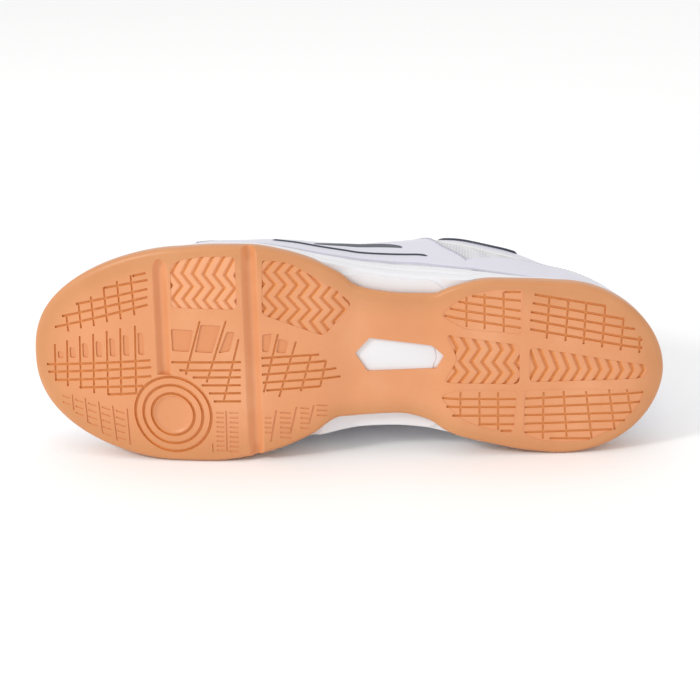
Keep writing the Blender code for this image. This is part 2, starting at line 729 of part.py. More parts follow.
TONGUE_FRONT, TONGUE_BACK = 0.690, 0.315
TONGUE_HALF_FRONT, TONGUE_HALF_BACK = 0.0240, 0.0270
TONGUE_CELLS_ALONG, TONGUE_CELLS_ROUND = 12, 16
TONGUE_CLEARANCE = 0.0016


def instep_point(station, across, lift):
    """A point on the last near its top line, moved along the surface's normal."""
    def surface(at, shift):
        side = 1.0 if shift > 0 else -1.0
        return place(*last_point(at, angle_at_width(at, side, abs(shift)), side))
    step = 0.0015
    along = surface(station + 0.01, across) - surface(station - 0.01, across)
    over = surface(station, across + step) - surface(station, across - step)
    return surface(station, across) + along.cross(over).normalized() * lift


def tongue_point(column_index, row):
    t = (column_index - 1) / (TONGUE_CELLS_ALONG - 2)
    end = column_index in (0, TONGUE_CELLS_ALONG)
    t = min(max(t, 0.0), 1.0)
    station = TONGUE_FRONT + (TONGUE_BACK - TONGUE_FRONT) * t
    half = TONGUE_HALF_FRONT + (TONGUE_HALF_BACK - TONGUE_HALF_FRONT) * t
    turn = 2.0 * math.pi * (row % TONGUE_CELLS_ROUND) / TONGUE_CELLS_ROUND
    across = 0.0 if end else half * math.cos(turn)
    thick = 0.0 if end else math.copysign(abs(math.sin(turn)) ** 0.5, math.sin(turn))
    depth = UPPER_WALL + TONGUE_CLEARANCE + TONGUE_THICKNESS * (0.5 - 0.5 * thick)
    return instep_point(station, across, -depth)


tongue = new_object("tongue", mapped_grid(TONGUE_CELLS_ALONG, TONGUE_CELLS_ROUND, tongue_point), "grey_mesh")

# Overlays: stitched pieces between the upper's face and the same form a little further out


def overlay(name, start, end, rows, low, high):
    """A panel on the upper between two indices around the shoe and two edges, given as shares of its height."""
    start, end = round(start), round(end)
    columns = end - start

    def point(column_index, row):
        t = column_index / columns
        index = start + (end - start) * t
        share = low(t) + (high(t) - low(t)) * row / rows
        return upper_point(index, share, OVERLAY_GAP)
    return sheet(name, "white_leather", columns, rows, point, OVERLAY_THICKNESS, 1.0)


def arch_between(ends, peak, power=2.0):
    """An edge that is at one share at both ends and at another in the middle."""
    return lambda t: ends + (peak - ends) * (1.0 - abs(2.0 * t - 1.0) ** power)


OVERLAY_GAP = 0.0007
LOW_EDGE = 0.035
STAY_BAND = 0.20

toe_cap = overlay("toe_cap", upper_index(0.80, 1), upper_index(0.80, -1), 4,
                  lambda t: LOW_EDGE, arch_between(0.30, 0.50))
eyestay = overlay("eyestay", upper_index(0.375, 1), upper_index(0.375, -1), 2,
                  lambda t: 1.0 - STAY_BAND - 0.02, lambda t: 0.985)
heel_counter = overlay("heel_counter", -upper_index(0.235, 1), upper_index(0.235, 1), 5,
                       lambda t: LOW_EDGE, arch_between(0.30, 0.72))
quarter_outer = overlay("quarter_outer", upper_index(0.265, 1), upper_index(0.760, 1), 5,
                        lambda t: LOW_EDGE, arch_between(0.22, 0.66))
quarter_inner = overlay("quarter_inner", upper_index(0.760, -1), upper_index(0.265, -1), 5,
                        lambda t: LOW_EDGE, arch_between(0.22, 0.66))

# Lace: flat straps crossed over the throat, joined in one solid, that stop at the top eyelets

EYELET_ROWS = 5
EYELET_STATIONS = [THROAT_BACK + 0.005 + (THROAT_FRONT - THROAT_BACK - 0.01) * i / (EYELET_ROWS - 1)
                   for i in range(EYELET_ROWS)]
EYELET_MARGIN = 0.0050
LACE_SLACK = 0.0011
LACE_LIFT = OVERLAY_GAP + OVERLAY_THICKNESS + LACE_SLACK + LACE_THICKNESS / 2
STRAP_CELLS = 8


def eyelet_across(station):
    along_throat = (station - THROAT_BACK) / (THROAT_FRONT - THROAT_BACK)
    return THROAT_HALF_BACK + (THROAT_HALF_FRONT - THROAT_HALF_BACK) * along_throat + EYELET_MARGIN


def strap(bm, start, end):
    """Add one flat strap between two plan points (station, across), arched over the instep."""
    travel = Vector(((end[0] - start[0]) * SHOE_LENGTH, end[1] - start[1])).normalized()
    rings = []
    for i in range(STRAP_CELLS + 1):
        t = i / STRAP_CELLS
        ring = []
        for wide, thick in ((-0.5, -0.5), (0.5, -0.5), (0.5, 0.5), (-0.5, 0.5)):
            station = start[0] + (end[0] - start[0]) * t - travel.y * wide * LACE_WIDTH / SHOE_LENGTH
            across = start[1] + (end[1] - start[1]) * t + travel.x * wide * LACE_WIDTH
            crown = LACE_THICKNESS * 0.6 * math.sin(math.pi * t)
            ring.append(bm.verts.new(instep_point(station, across, LACE_LIFT + crown + thick * LACE_THICKNESS)))
        rings.append(ring)
    for first, second in zip(rings, rings[1:]):
        for k in range(4):
            bm.faces.new((first[k], first[(k + 1) % 4], second[(k + 1) % 4], second[k]))
    bm.faces.new(rings[0][::-1])
    bm.faces.new(rings[-1])


def straps(name, pairs):
    bm = bmesh.new()
    for start, end in pairs:
        strap(bm, start, end)
    return new_object(name, bm, "lace_cotton")


outward_pairs = []
inward_pairs = []
for back, front in zip(EYELET_STATIONS, EYELET_STATIONS[1:]):
    outward_pairs.append(((front, -eyelet_across(front)), (back, eyelet_across(back))))
    inward_pairs.append(((front, eyelet_across(front)), (back, -eyelet_across(back))))
front_row = EYELET_STATIONS[-1]
lace = straps("lace", outward_pairs)
lace_crossing = straps("lace_crossing", inward_pairs)
lace_bar = straps("lace_bar", [((front_row, -eyelet_across(front_row)), (front_row, eyelet_across(front_row)))])
for other in (lace_crossing, lace_bar):
    other.hide_render = True
    other.display_type = "WIRE"
    join = lace.modifiers.new("join", "BOOLEAN")
    join.operation = "UNION"
    join.object = other

# Lying pose: the shoe rolls onto its inner side until sole edge and upper carry it

PIECES = [outsole, midsole, insole, upper, tongue, toe_cap, eyestay, heel_counter,
          quarter_outer, quarter_inner, lace]
HELPERS = [tread_cutter, lace_crossing, lace_bar]
MASS_ALONG, MASS_UP = 0.47, 0.0260


def resting_normal(pieces):
    """Outward normal of the face of the shoe's hull, on its inner side, that its weight lies over."""
    bpy.context.view_layer.update()
    depsgraph = bpy.context.evaluated_depsgraph_get()
    hull = bmesh.new()
    for piece in pieces:
        solid = piece.evaluated_get(depsgraph)
        mesh = solid.to_mesh()
        for vertex in mesh.vertices:
            hull.verts.new(vertex.co)
        solid.to_mesh_clear()
    bmesh.ops.convex_hull(hull, input=hull.verts[:])
    weight = place(MASS_ALONG * SHOE_LENGTH, 0.0, MASS_UP)
    best = None
    for face in hull.faces:
        face.normal_update()
        normal = face.normal.copy()
        if normal.dot(face.verts[0].co - weight) < 0.0:
            normal.negate()
        if normal.y < 0.8:
            continue
        foot = weight + normal * normal.dot(face.verts[0].co - weight)
        corners = [v.co for v in face.verts]
        turns = []
        for a, b in zip(corners, corners[1:] + corners[:1]):
            turns.append((b - a).cross(foot - a).dot(normal))
        if all(turn >= 0 for turn in turns) or all(turn <= 0 for turn in turns):
            best = normal
    hull.free()
    return best


down = resting_normal(PIECES)
roll = down.rotation_difference(Vector((0.0, 0.0, -1.0))).to_matrix()
heelward = roll @ Vector((1.0, 0.0, 0.0))
level = Matrix.Rotation(-math.atan2(heelward.y, heelward.x), 3, "Z")
turned = (level @ roll).to_4x4()

depsgraph = bpy.context.evaluated_depsgraph_get()
corners = []
for piece in PIECES:
    solid = piece.evaluated_get(depsgraph)
    mesh = solid.to_mesh()
    corners.extend(turned @ vertex.co for vertex in mesh.vertices)
    solid.to_mesh_clear()
lows = [min(corner[axis] for corner in corners) for axis in range(3)]
highs = [max(corner[axis] for corner in corners) for axis in range(3)]
centre = Vector(((lows[0] + highs[0]) / 2, (lows[1] + highs[1]) / 2, lows[2]))

lying = bpy.data.objects.new("lying_pose", None)
bpy.context.collection.objects.link(lying)
lying.matrix_world = Matrix.Translation(-centre) @ turned
for item in PIECES + HELPERS:
    item.parent = lying
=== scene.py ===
"""Looks of the indoor court shoe, which lies on its inner side with its sole towards the camera.

Every piece is made from the shoe's own named sizes. A place on the shoe is given by its distance from
the heel end, its distance from the centre line, positive towards the outer side, and its height over the
ground of a standing shoe.
"""
import json
from math import acos, asin, ceil, copysign, cos, pi, radians, sin, sqrt

import bmesh
import bpy
from mathutils import Matrix, Vector


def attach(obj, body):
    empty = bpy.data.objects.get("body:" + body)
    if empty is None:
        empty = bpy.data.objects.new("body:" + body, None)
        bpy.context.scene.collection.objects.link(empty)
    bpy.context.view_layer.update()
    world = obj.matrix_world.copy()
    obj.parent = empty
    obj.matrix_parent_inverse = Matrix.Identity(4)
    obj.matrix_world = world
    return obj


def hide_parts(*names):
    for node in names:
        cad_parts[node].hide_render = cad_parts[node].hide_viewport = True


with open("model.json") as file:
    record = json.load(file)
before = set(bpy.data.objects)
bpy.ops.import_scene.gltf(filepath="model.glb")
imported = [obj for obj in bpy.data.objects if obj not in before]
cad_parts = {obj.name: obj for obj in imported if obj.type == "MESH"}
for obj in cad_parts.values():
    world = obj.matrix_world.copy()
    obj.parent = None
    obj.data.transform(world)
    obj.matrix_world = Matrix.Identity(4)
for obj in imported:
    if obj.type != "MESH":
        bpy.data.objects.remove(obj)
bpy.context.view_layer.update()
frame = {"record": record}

# Lying pose. The two tread mounts of the record lie on the flat of the sole, so they say how the shoe
# lies: "place" turns a point of the standing shoe into the lying one.

SHOE_LENGTH = 0.296
HEEL_MOUNT_ALONG = 0.0665

mounts = {mount["name"]: mount for mount in frame["record"]["mounts"]}
heel_mount = Vector(mounts["heel_tread"]["pos_m"])
ball_mount = Vector(mounts["forefoot_tread"]["pos_m"])
SHOE_UP = -Vector(mounts["heel_tread"]["axis"]).normalized()
HEELWARD = (heel_mount - ball_mount).normalized()
OUTWARD = -SHOE_UP.cross(HEELWARD)


def place(along, across, up):
    return heel_mount + HEELWARD * (HEEL_MOUNT_ALONG - along) + OUTWARD * across + SHOE_UP * up


# Camera: it looks at the sole from the outer side, tilted and turned a little, with the heel to the right.

VIEW_TILT, VIEW_YAW, VIEW_ROLL = radians(17.5), radians(4.0), radians(-0.5)
VIEW_DISTANCE = 0.760
SENSOR_WIDTH = 36.0
LENS = 84.15
SHIFT_RIGHT, SHIFT_UP = 0.0128, 0.0029
AIM_ACROSS, AIM_UP = 0.0037, 0.0080

towards = (HEELWARD * sin(VIEW_YAW) * cos(VIEW_TILT) + OUTWARD * sin(VIEW_TILT)
           - SHOE_UP * cos(VIEW_YAW) * cos(VIEW_TILT)).normalized()
level_up = (OUTWARD - towards * OUTWARD.dot(towards)).normalized()
level_right = level_up.cross(towards)
picture_up = level_up * cos(VIEW_ROLL) + level_right * sin(VIEW_ROLL)
picture_right = level_right * cos(VIEW_ROLL) - level_up * sin(VIEW_ROLL)
camera_data = bpy.data.cameras.new("camera")
camera_data.sensor_width = SENSOR_WIDTH
camera_data.lens = LENS
camera_data.shift_x = SHIFT_RIGHT
camera_data.shift_y = SHIFT_UP
camera = bpy.data.objects.new("camera", camera_data)
bpy.context.collection.objects.link(camera)
camera_place = place(SHOE_LENGTH / 2, AIM_ACROSS, AIM_UP) + towards * VIEW_DISTANCE
camera_turn = Matrix((picture_right, picture_up, towards)).transposed()
camera.matrix_world = Matrix.Translation(camera_place) @ camera_turn.to_4x4()
bpy.context.scene.camera = camera

# Studio: a pale floor and soft light, strongest from the toe's side so that the tread's edges show.

bpy.context.scene.view_settings.view_transform = "Standard"


def area_light(name, position, aim, size, power, color):
    data = bpy.data.lights.new(name, "AREA")
    data.shape = "DISK"
    data.size = size
    data.energy = power
    data.color = color
    lamp = bpy.data.objects.new(name, data)
    lamp.location = position
    lamp.rotation_euler = (Vector(position) - Vector(aim)).to_track_quat("Z", "Y").to_euler()
    bpy.context.collection.objects.link(lamp)


SOLE_MIDDLE = (0.0, -0.05, 0.04)
NEUTRAL = (1.0, 1.0, 1.0)
area_light("key", (-1.30, -0.85, 1.10), SOLE_MIDDLE, 0.40, 12.0, (1.0, 0.985, 0.965))
area_light("fill", (0.25, -1.40, 0.22), SOLE_MIDDLE, 0.80, 1.4, NEUTRAL)
area_light("top", (0.10, 0.25, 1.60), (0.0, 0.0, 0.05), 1.20, 2.5, NEUTRAL)

world = bpy.data.worlds.new("studio")
bpy.context.scene.world = world
world.use_nodes = True
backdrop = world.node_tree.nodes["Background"]
backdrop.inputs["Color"].default_value = (*NEUTRAL, 1.0)
backdrop.inputs["Strength"].default_value = 0.86

FLOOR_SIZE = 8.0
floor_mesh = bmesh.new()
bmesh.ops.create_grid(floor_mesh, x_segments=1, y_segments=1, size=FLOOR_SIZE / 2)
floor_data = bpy.data.meshes.new("floor")
floor_mesh.to_mesh(floor_data)
floor_mesh.free()
floor = bpy.data.objects.new("floor", floor_data)
bpy.context.collection.objects.link(floor)
floor_look = bpy.data.materials.new("floor_look")
floor_look.use_nodes = True
floor_shader = floor_look.node_tree.nodes["Principled BSDF"]
floor_shader.inputs["Base Color"].default_value = (0.97, 0.97, 0.97, 1.0)
floor_shader.inputs["Roughness"].default_value = 0.9
floor_data.materials.append(floor_look)

# Outsole: one moulding of gum rubber, with a rounded edge and a rim that rises as a bumper at the toe.
# Its outline is a table of stations, shares of the length, and of reaches, shares of a width. Its tread
# is carved: flex channels, turning disc, waist window, zigzag pads and grids of thin grooves.

BALL_WIDTH, HEEL_WIDTH, WAIST_WIDTH = 0.1042, 0.0818, 0.0582
SOLE_HEIGHT = 0.0270
TOE_SPRING, SPRING_START = 0.0200, 0.635
HEEL_BEVEL, HEEL_BEVEL_END = 0.0040, 0.075
ARCH_RISE = 0.0030
TREAD_THICKNESS = 0.0045
RIM_WALL, RIM_LEAN = 0.0030, 0.0006
HEEL_ROUND, TOE_ROUND, TOE_TURN = 0.162, 0.7635, 0.0055
BITE_HEEL_INSET, BITE_TOE_INSET = 0.0065, 0.0060
HEEL_BLUNT, TOE_BLUNT, TOE_BULGE = 0.53, 0.42, 1.6
NARROW = 0.006
SPINE_START, SPINE_END = 0.14, 0.84
END_SHARE = 0.15
MERGE_DISTANCE = 2e-6
STEPS = 150
OUTLINE_COLUMNS = ("station", "follows", "tread_out", "tread_in", "foam_out", "foam_in", "bite_out",
                   "bite_in")
OUTLINE_ROWS = (
    (0.162, HEEL_WIDTH, 0.509, 0.491, 0.505, 0.487, 0.440, 0.423),
    (0.203, HEEL_WIDTH, 0.513, 0.482, 0.509, 0.478, 0.456, 0.423),
    (0.264, HEEL_WIDTH, 0.512, 0.447, 0.508, 0.445, 0.480, 0.413),
    (0.304, HEEL_WIDTH, 0.494, 0.418, 0.499, 0.426, 0.496, 0.406),
    (0.334, HEEL_WIDTH, 0.457, 0.381, 0.497, 0.416, 0.502, 0.399),
    (0.358, WAIST_WIDTH, 0.584, 0.465, 0.700, 0.571, 0.713, 0.553),
    (0.405, WAIST_WIDTH, 0.580, 0.416, 0.708, 0.557, 0.720, 0.552),
    (0.453, WAIST_WIDTH, 0.602, 0.434, 0.735, 0.570, 0.741, 0.567),
    (0.480, WAIST_WIDTH, 0.640, 0.450, 0.758, 0.589, 0.756, 0.584),
    (0.500, BALL_WIDTH, 0.407, 0.255, 0.437, 0.340, 0.432, 0.334),
    (0.544, BALL_WIDTH, 0.467, 0.337, 0.467, 0.370, 0.451, 0.357),
    (0.591, BALL_WIDTH, 0.505, 0.405, 0.502, 0.408, 0.475, 0.389),
    (0.642, BALL_WIDTH, 0.525, 0.452, 0.522, 0.449, 0.492, 0.420),
    (0.699, BALL_WIDTH, 0.520, 0.482, 0.517, 0.479, 0.489, 0.449),
    (0.7635, BALL_WIDTH, 0.499, 0.491, 0.496, 0.488, 0.468, 0.457),
)
SIDE_COLUMNS = ("station", "rim", "bite")
SIDE_ROWS = (
    (0.00, 0.52, 1.000), (0.16, 0.37, 0.985), (0.28, 0.34, 0.972), (0.315, 0.17, 0.966),
    (0.36, 0.17, 0.955), (0.47, 0.17, 0.900), (0.52, 0.17, 0.860), (0.55, 0.33, 0.840),
    (0.64, 0.34, 0.780), (0.76, 0.37, 0.725), (0.90, 0.45, 0.670), (1.00, 0.52, 0.620),
)


def smooth_curve(stations, values):
    """A smooth curve through the rows that doesn't overshoot between them."""
    count = len(stations)
    slopes = [(values[i + 1] - values[i]) / (stations[i + 1] - stations[i]) for i in range(count - 1)]
    tangents = [slopes[0]]
    for before, after in zip(slopes, slopes[1:]):
        tangents.append(0.0 if before * after <= 0.0 else 2.0 * before * after / (before + after))
    tangents.append(slopes[-1])

    def value(station):
        station = min(max(station, stations[0]), stations[-1])
        i = 0
        while i < count - 2 and station > stations[i + 1]:
            i += 1
        step = stations[i + 1] - stations[i]
        t = (station - stations[i]) / step
        start = (1 + 2 * t) * (1 - t) ** 2 * values[i] + t * (1 - t) ** 2 * step * tangents[i]
        end = t * t * (3 - 2 * t) * values[i + 1] - t * t * (1 - t) * step * tangents[i + 1]
        return start + end

    return value


def table(rows, names):
    """One smooth curve for each column; a share is multiplied by the size that its row follows."""
    curves = {}
    for place_in_row, name in enumerate(names):
        if name in ("station", "follows"):
            continue
        follows = "follows" in names and not name.startswith(("square", "bulge"))
        values = [row[place_in_row] * (row[1] if follows else 1.0) for row in rows]
        curves[name] = smooth_curve([row[0] for row in rows], values)
    return curves


OUTLINE = table(OUTLINE_ROWS, OUTLINE_COLUMNS)
SIDES = table(SIDE_ROWS, SIDE_COLUMNS)


def ease(low, high, value):
    """0 below low, 1 above high and a smooth step between."""
    t = min(max((value - low) / (high - low), 0.0), 1.0)
    return t * t * (3.0 - 2.0 * t)


def station_at(turn):
    """Station after a share of a side's steps: even along the middle, closer towards heel and toe."""
    near = min(turn, 1.0 - turn)
    speed = 1.0 / (1.0 - END_SHARE)
    station = speed * (near - END_SHARE / 2) if near > END_SHARE else speed * near * near / END_SHARE / 2
    return station if turn < 0.5 else 1.0 - station


def station_turn(station):
    """Share of a side's steps at which a station lies."""
    near = min(station, 1.0 - station)
    speed = 1.0 / (1.0 - END_SHARE)
    turn = near / speed + END_SHARE / 2
    if turn < END_SHARE:
        turn = sqrt(2.0 * END_SHARE * near / speed)
    return turn if station < 0.5 else 1.0 - turn


def toe_lift(station):
    return TOE_SPRING * max((station - SPRING_START) / (1.0 - SPRING_START), 0.0) ** 2


def ground_line(station):
    """Height of the tread: bevelled heel, raised arch and toe spring."""
    heel = HEEL_BEVEL * max((HEEL_BEVEL_END - station) / HEEL_BEVEL_END, 0.0) ** 2
    arch = ARCH_RISE * ease(0.31, 0.37, station) * (1.0 - ease(0.47, 0.54, station))
    return heel + arch + toe_lift(station)


def rim_line(station):
    rim = SIDES["rim"](station) * SOLE_HEIGHT + toe_lift(station)
    return max(rim, ground_line(station) + TREAD_THICKNESS)


def bite_line(station):
    """Height where the upper meets the midsole."""
    return SIDES["bite"](station) * SOLE_HEIGHT + toe_lift(station)


def middle(station):
    """The sole's centre line turns towards the inner side at the toe."""
    return -TOE_TURN * max((station - TOE_ROUND) / (1.0 - TOE_ROUND), 0.0)


def reach(station, side, edge):
    """Distance from the centre line to an edge of the sole; side is 1 outside and -1 inside."""
    curve = OUTLINE[edge + ("_out" if side > 0 else "_in")]
    if station < HEEL_ROUND:
        turn = (HEEL_ROUND - station) / HEEL_ROUND
        return curve(HEEL_ROUND) * max(1.0 - turn ** 2, 0.0) ** HEEL_BLUNT
    if station > TOE_ROUND:
        turn = (station - TOE_ROUND) / (1.0 - TOE_ROUND)
        return curve(TOE_ROUND) * max(1.0 - turn ** TOE_BULGE, 0.0) ** TOE_BLUNT
    return curve(station)


def edge_point(index, edge, inset):
    """Plan place of a point on an edge loop; index runs heel, outer side, toe, inner side."""
    side = 1.0 if index <= STEPS else -1.0
    station = station_at(min(index, 2 * STEPS - index) / STEPS)
    heel, toe = (BITE_HEEL_INSET, BITE_TOE_INSET) if edge == "bite" else (0.0, 0.0)
    start, end = heel + inset, SHOE_LENGTH - toe - inset
    half = reach(station, side, edge)
    slim = half - inset * min(half / NARROW, 1.0)
    return start + (end - start) * station, middle(station) + side * slim, station


def spine_place(station):
    """Plan place on the spine, towards which the rings of a layer close."""
    along = min(max(station, SPINE_START), SPINE_END) * SHOE_LENGTH
    return along, middle(along / SHOE_LENGTH)


def mapped_grid(columns, rows, point):
    """A grid whose vertices are moved to point(column, row), with the grid itself kept as a UV map."""
    bm = bmesh.new()
    layer = bm.loops.layers.uv.new("grid")
    bmesh.ops.create_grid(bm, x_segments=columns, y_segments=rows, size=0.5)
    for face in bm.faces:
        for loop in face.loops:
            loop[layer].uv = (loop.vert.co.x + 0.5, loop.vert.co.y + 0.5)
    for vertex in bm.verts:
        vertex.co = point(round((vertex.co.x + 0.5) * columns), round((vertex.co.y + 0.5) * rows))
    bmesh.ops.remove_doubles(bm, verts=bm.verts[:], dist=MERGE_DISTANCE)
    return bm


def new_piece(name, bm, looks, sharp=40):
    """A smooth shaded object from a finished bmesh, linked to the scene."""
    bmesh.ops.recalc_face_normals(bm, faces=bm.faces[:])
    mesh = bpy.data.meshes.new(name)
    bm.to_mesh(mesh)
    bm.free()
    mesh.shade_smooth()
    mesh.set_sharp_from_angle(angle=radians(sharp))
    for look in looks:
        mesh.materials.append(look)
    item = bpy.data.objects.new(name, mesh)
    bpy.context.collection.objects.link(item)
    return item


def grid_middle(piece, face):
    """Where the middle of a face lies on its piece's grid, as shares of the columns and rows."""
    corners = [piece.data.uv_layers["grid"].data[k].uv for k in face.loop_indices]
    return [sum(corner[axis] for corner in corners) / len(corners) for axis in (0, 1)]


def sole_layer(rings):
    """A closed sole layer. Each ring is (edge, share towards the spine, inset, height function)."""
    around = 2 * STEPS

    def point(index, row):
        edge, spine_share, inset, height = rings[row]
        along, across, station = edge_point(index % around, edge, inset)
        spine_along, spine_across = spine_place(station)
        along += (spine_along - along) * spine_share
        across += (spine_across - across) * spine_share
        return place(along, across, height(along / SHOE_LENGTH))

    return mapped_grid(around, len(rings) - 1, point)


def shader_of(name, color, roughness, coat=0.0):
    """A material with its Principled shader, its nodes and its links."""
    look = bpy.data.materials.new(name)
    look.use_nodes = True
    shader = look.node_tree.nodes["Principled BSDF"]
    shader.inputs["Base Color"].default_value = (*color, 1.0)
    shader.inputs["Roughness"].default_value = roughness
    shader.inputs["Coat Weight"].default_value = coat
    return look, shader, look.node_tree.nodes, look.node_tree.links


def add_bump(look_parts, heights, distance):
    """Bump from a list of (height socket, strength), one on the other."""
    look, shader, nodes, links = look_parts
    previous = None
    for socket, strength in heights:
        bump = nodes.new("ShaderNodeBump")
        bump.inputs["Strength"].default_value = strength
        bump.inputs["Distance"].default_value = distance
        links.new(socket, bump.inputs["Height"])
        if previous:
            links.new(previous.outputs["Normal"], bump.inputs["Normal"])
        previous = bump
    links.new(previous.outputs["Normal"], shader.inputs["Normal"])


def on_object(look_parts, kind, scale, stretch):
    """A texture node of the given kind on the piece's own coordinates."""
    look, shader, nodes, links = look_parts
    source = nodes.new("ShaderNodeTexCoord")
    mapping = nodes.new("ShaderNodeMapping")
    mapping.inputs["Scale"].default_value = stretch
    texture = nodes.new(kind)
    texture.inputs["Scale"].default_value = scale
    links.new(source.outputs["Object"], mapping.inputs["Vector"])
    links.new(mapping.outputs["Vector"], texture.inputs["Vector"])
    return texture


def noise(look_parts, scale, detail=3.0, stretch=(1.0, 1.0, 1.0)):
    texture = on_object(look_parts, "ShaderNodeTexNoise", scale, stretch)
    texture.inputs["Detail"].default_value = detail
    return texture.outputs["Fac"]


def blend_colors(look_parts, factor, stops):
    """Base colour from a factor through a ramp of (position, colour)."""
    look, shader, nodes, links = look_parts
    ramp = nodes.new("ShaderNodeValToRGB")
    while len(ramp.color_ramp.elements) < len(stops):
        ramp.color_ramp.elements.new(0.5)
    for element, (position, color) in zip(ramp.color_ramp.elements, stops):
        element.position = position
        element.color = (*color, 1.0)
    links.new(factor, ramp.inputs["Fac"])
    links.new(ramp.outputs["Color"], shader.inputs["Base Color"])
    return ramp


gum = shader_of("gum_look", (0.62, 0.25, 0.09), 0.42)
gum_ramp = blend_colors(gum, noise(gum, 26.0, 4.0), (
    (0.30, (0.655, 0.262, 0.104)), (0.55, (0.690, 0.288, 0.122)), (0.75, (0.735, 0.335, 0.158))))
# Painted shade: the smooth band along the edge is a little darker and more yellow, for the light that falls
# off where the rounded rim turns away; the grid's rows tell how near it is
EDGE_SHADE_START, EDGE_SHADE_END = 0.17, 0.29
EDGE_SHADE_TINT = (0.86, 0.88, 0.80, 1.0)
gum_shader, gum_nodes, gum_links = gum[1:]
from_edge = gum_nodes.new("ShaderNodeUVMap")
from_edge.uv_map = "grid"
rows_apart = gum_nodes.new("ShaderNodeSeparateXYZ")
band = gum_nodes.new("ShaderNodeMapRange")
band.inputs["From Min"].default_value = EDGE_SHADE_START
band.inputs["From Max"].default_value = EDGE_SHADE_END
edge_shade_mix = gum_nodes.new("ShaderNodeMix")
edge_shade_mix.data_type = "RGBA"
edge_shade_mix.blend_type = "MULTIPLY"
edge_shade_mix.inputs["B"].default_value = EDGE_SHADE_TINT
gum_links.new(from_edge.outputs["UV"], rows_apart.inputs["Vector"])
gum_links.new(rows_apart.outputs["Y"], band.inputs["Value"])
gum_links.new(band.outputs["Result"], edge_shade_mix.inputs["Factor"])
gum_links.new(gum_ramp.outputs["Color"], edge_shade_mix.inputs["A"])
gum_links.new(edge_shade_mix.outputs["Result"], gum_shader.inputs["Base Color"])
add_bump(gum, ((noise(gum, 900.0, 2.0), 0.10), (noise(gum, 260.0, 3.0), 0.12)), 0.0006)
# Painted shade: the grooves take a darker, more saturated orange than the rubber around them, for the shade
# in them and the light that glows through the translucent gum
gum_groove_shade = shader_of("gum_groove_painted_shade_look", (0.71, 0.285, 0.082), 0.55)
add_bump(gum_groove_shade, ((noise(gum_groove_shade, 700.0, 2.0), 0.08),), 0.0006)
# Painted shade: the floors of the shallow cells are a darker, deeper orange, for the shade in these recesses
gum_cell_shade = shader_of("gum_cell_painted_shade_look", (0.655, 0.252, 0.098), 0.45)
gum_pale = shader_of("gum_rib_look", (0.76, 0.345, 0.165), 0.42)
add_bump(gum_pale, ((noise(gum_pale, 260.0, 3.0), 0.12),), 0.0006)

EDGE_ROUND, EDGE_STEPS = 0.0024, 6
FIELD_INSET = 0.0022
FIELD_SHARES = (1.0, 0.82, 0.64, 0.48, 0.34, 0.22, 0.12, 0.05)


def above(inset_share, share):
    """Height on the rubber's rounded lower edge and side."""
    def height(here):
        low, high = ground_line(here), rim_line(here)
        return low + EDGE_ROUND * inset_share + (high - low - EDGE_ROUND * inset_share) * share
    return height


def tread_floor(here):
    return ground_line(here) + TREAD_THICKNESS


sole_rings = [("tread", share, FIELD_INSET, ground_line) for share in FIELD_SHARES]
for i in range(EDGE_STEPS + 1):
    turn = pi / 2 * i / EDGE_STEPS
    sole_rings.append(("tread", 0.0, EDGE_ROUND * (1.0 - sin(turn)), above(1.0 - cos(turn), 0.0)))
sole_rings += [
    ("tread", 0.0, 0.00005, above(1.0, 0.25)), ("tread", 0.0, RIM_LEAN * 0.5, above(1.0, 0.60)),
    ("tread", 0.0, RIM_LEAN, above(1.0, 0.90)), ("tread", 0.0, RIM_LEAN * 1.5, above(1.0, 0.98)),
    ("tread", 0.0, RIM_LEAN * 2.4, above(1.0, 1.0)), ("tread", 0.0, RIM_WALL, above(1.0, 1.0)),
    ("tread", 0.0, RIM_WALL + RIM_LEAN, tread_floor), ("tread", 0.3, RIM_WALL + RIM_LEAN, tread_floor),
    ("tread", 0.65, RIM_WALL + RIM_LEAN, tread_floor), ("tread", 1.0, RIM_WALL + RIM_LEAN, tread_floor),
]
outsole = new_piece("outsole_tread", sole_layer(sole_rings), [gum[0], gum_groove_shade[0], gum_pale[0]])

# Cutter profiles, from one side of a groove to the other: (share of half the width, share of the depth)
SLOT = ((-1.12, -0.8), (-0.70, 1.0), (0.70, 1.0), (1.12, -0.8))
TROUGH = ((-1.05, -0.4), *((k / 8, 1.04 * cos(pi * k / 16) ** 1.5 - 0.04) for k in range(-8, 9)),
          (1.05, -0.4))
# The whole pattern is moved towards the heel by the shift, in millimetres
TREAD_SHIFT = 0.95
MITRE_LIMIT, FADE_START = 0.4, 0.02
SLAB_START, SLAB_END, SLAB_STEP, SLAB_WIDTH, SLAB_BELOW = (2.0, 0.0), (290.0, 0.0), 2.5, 120.0, 1.6


def under(along, across, deep):
    """A point of the tread from its plan place and its depth in the rubber, all in millimetres."""
    along = (along - TREAD_SHIFT) / 1000
    return place(along, across / 1000, ground_line(along / SHOE_LENGTH) + deep / 1000)


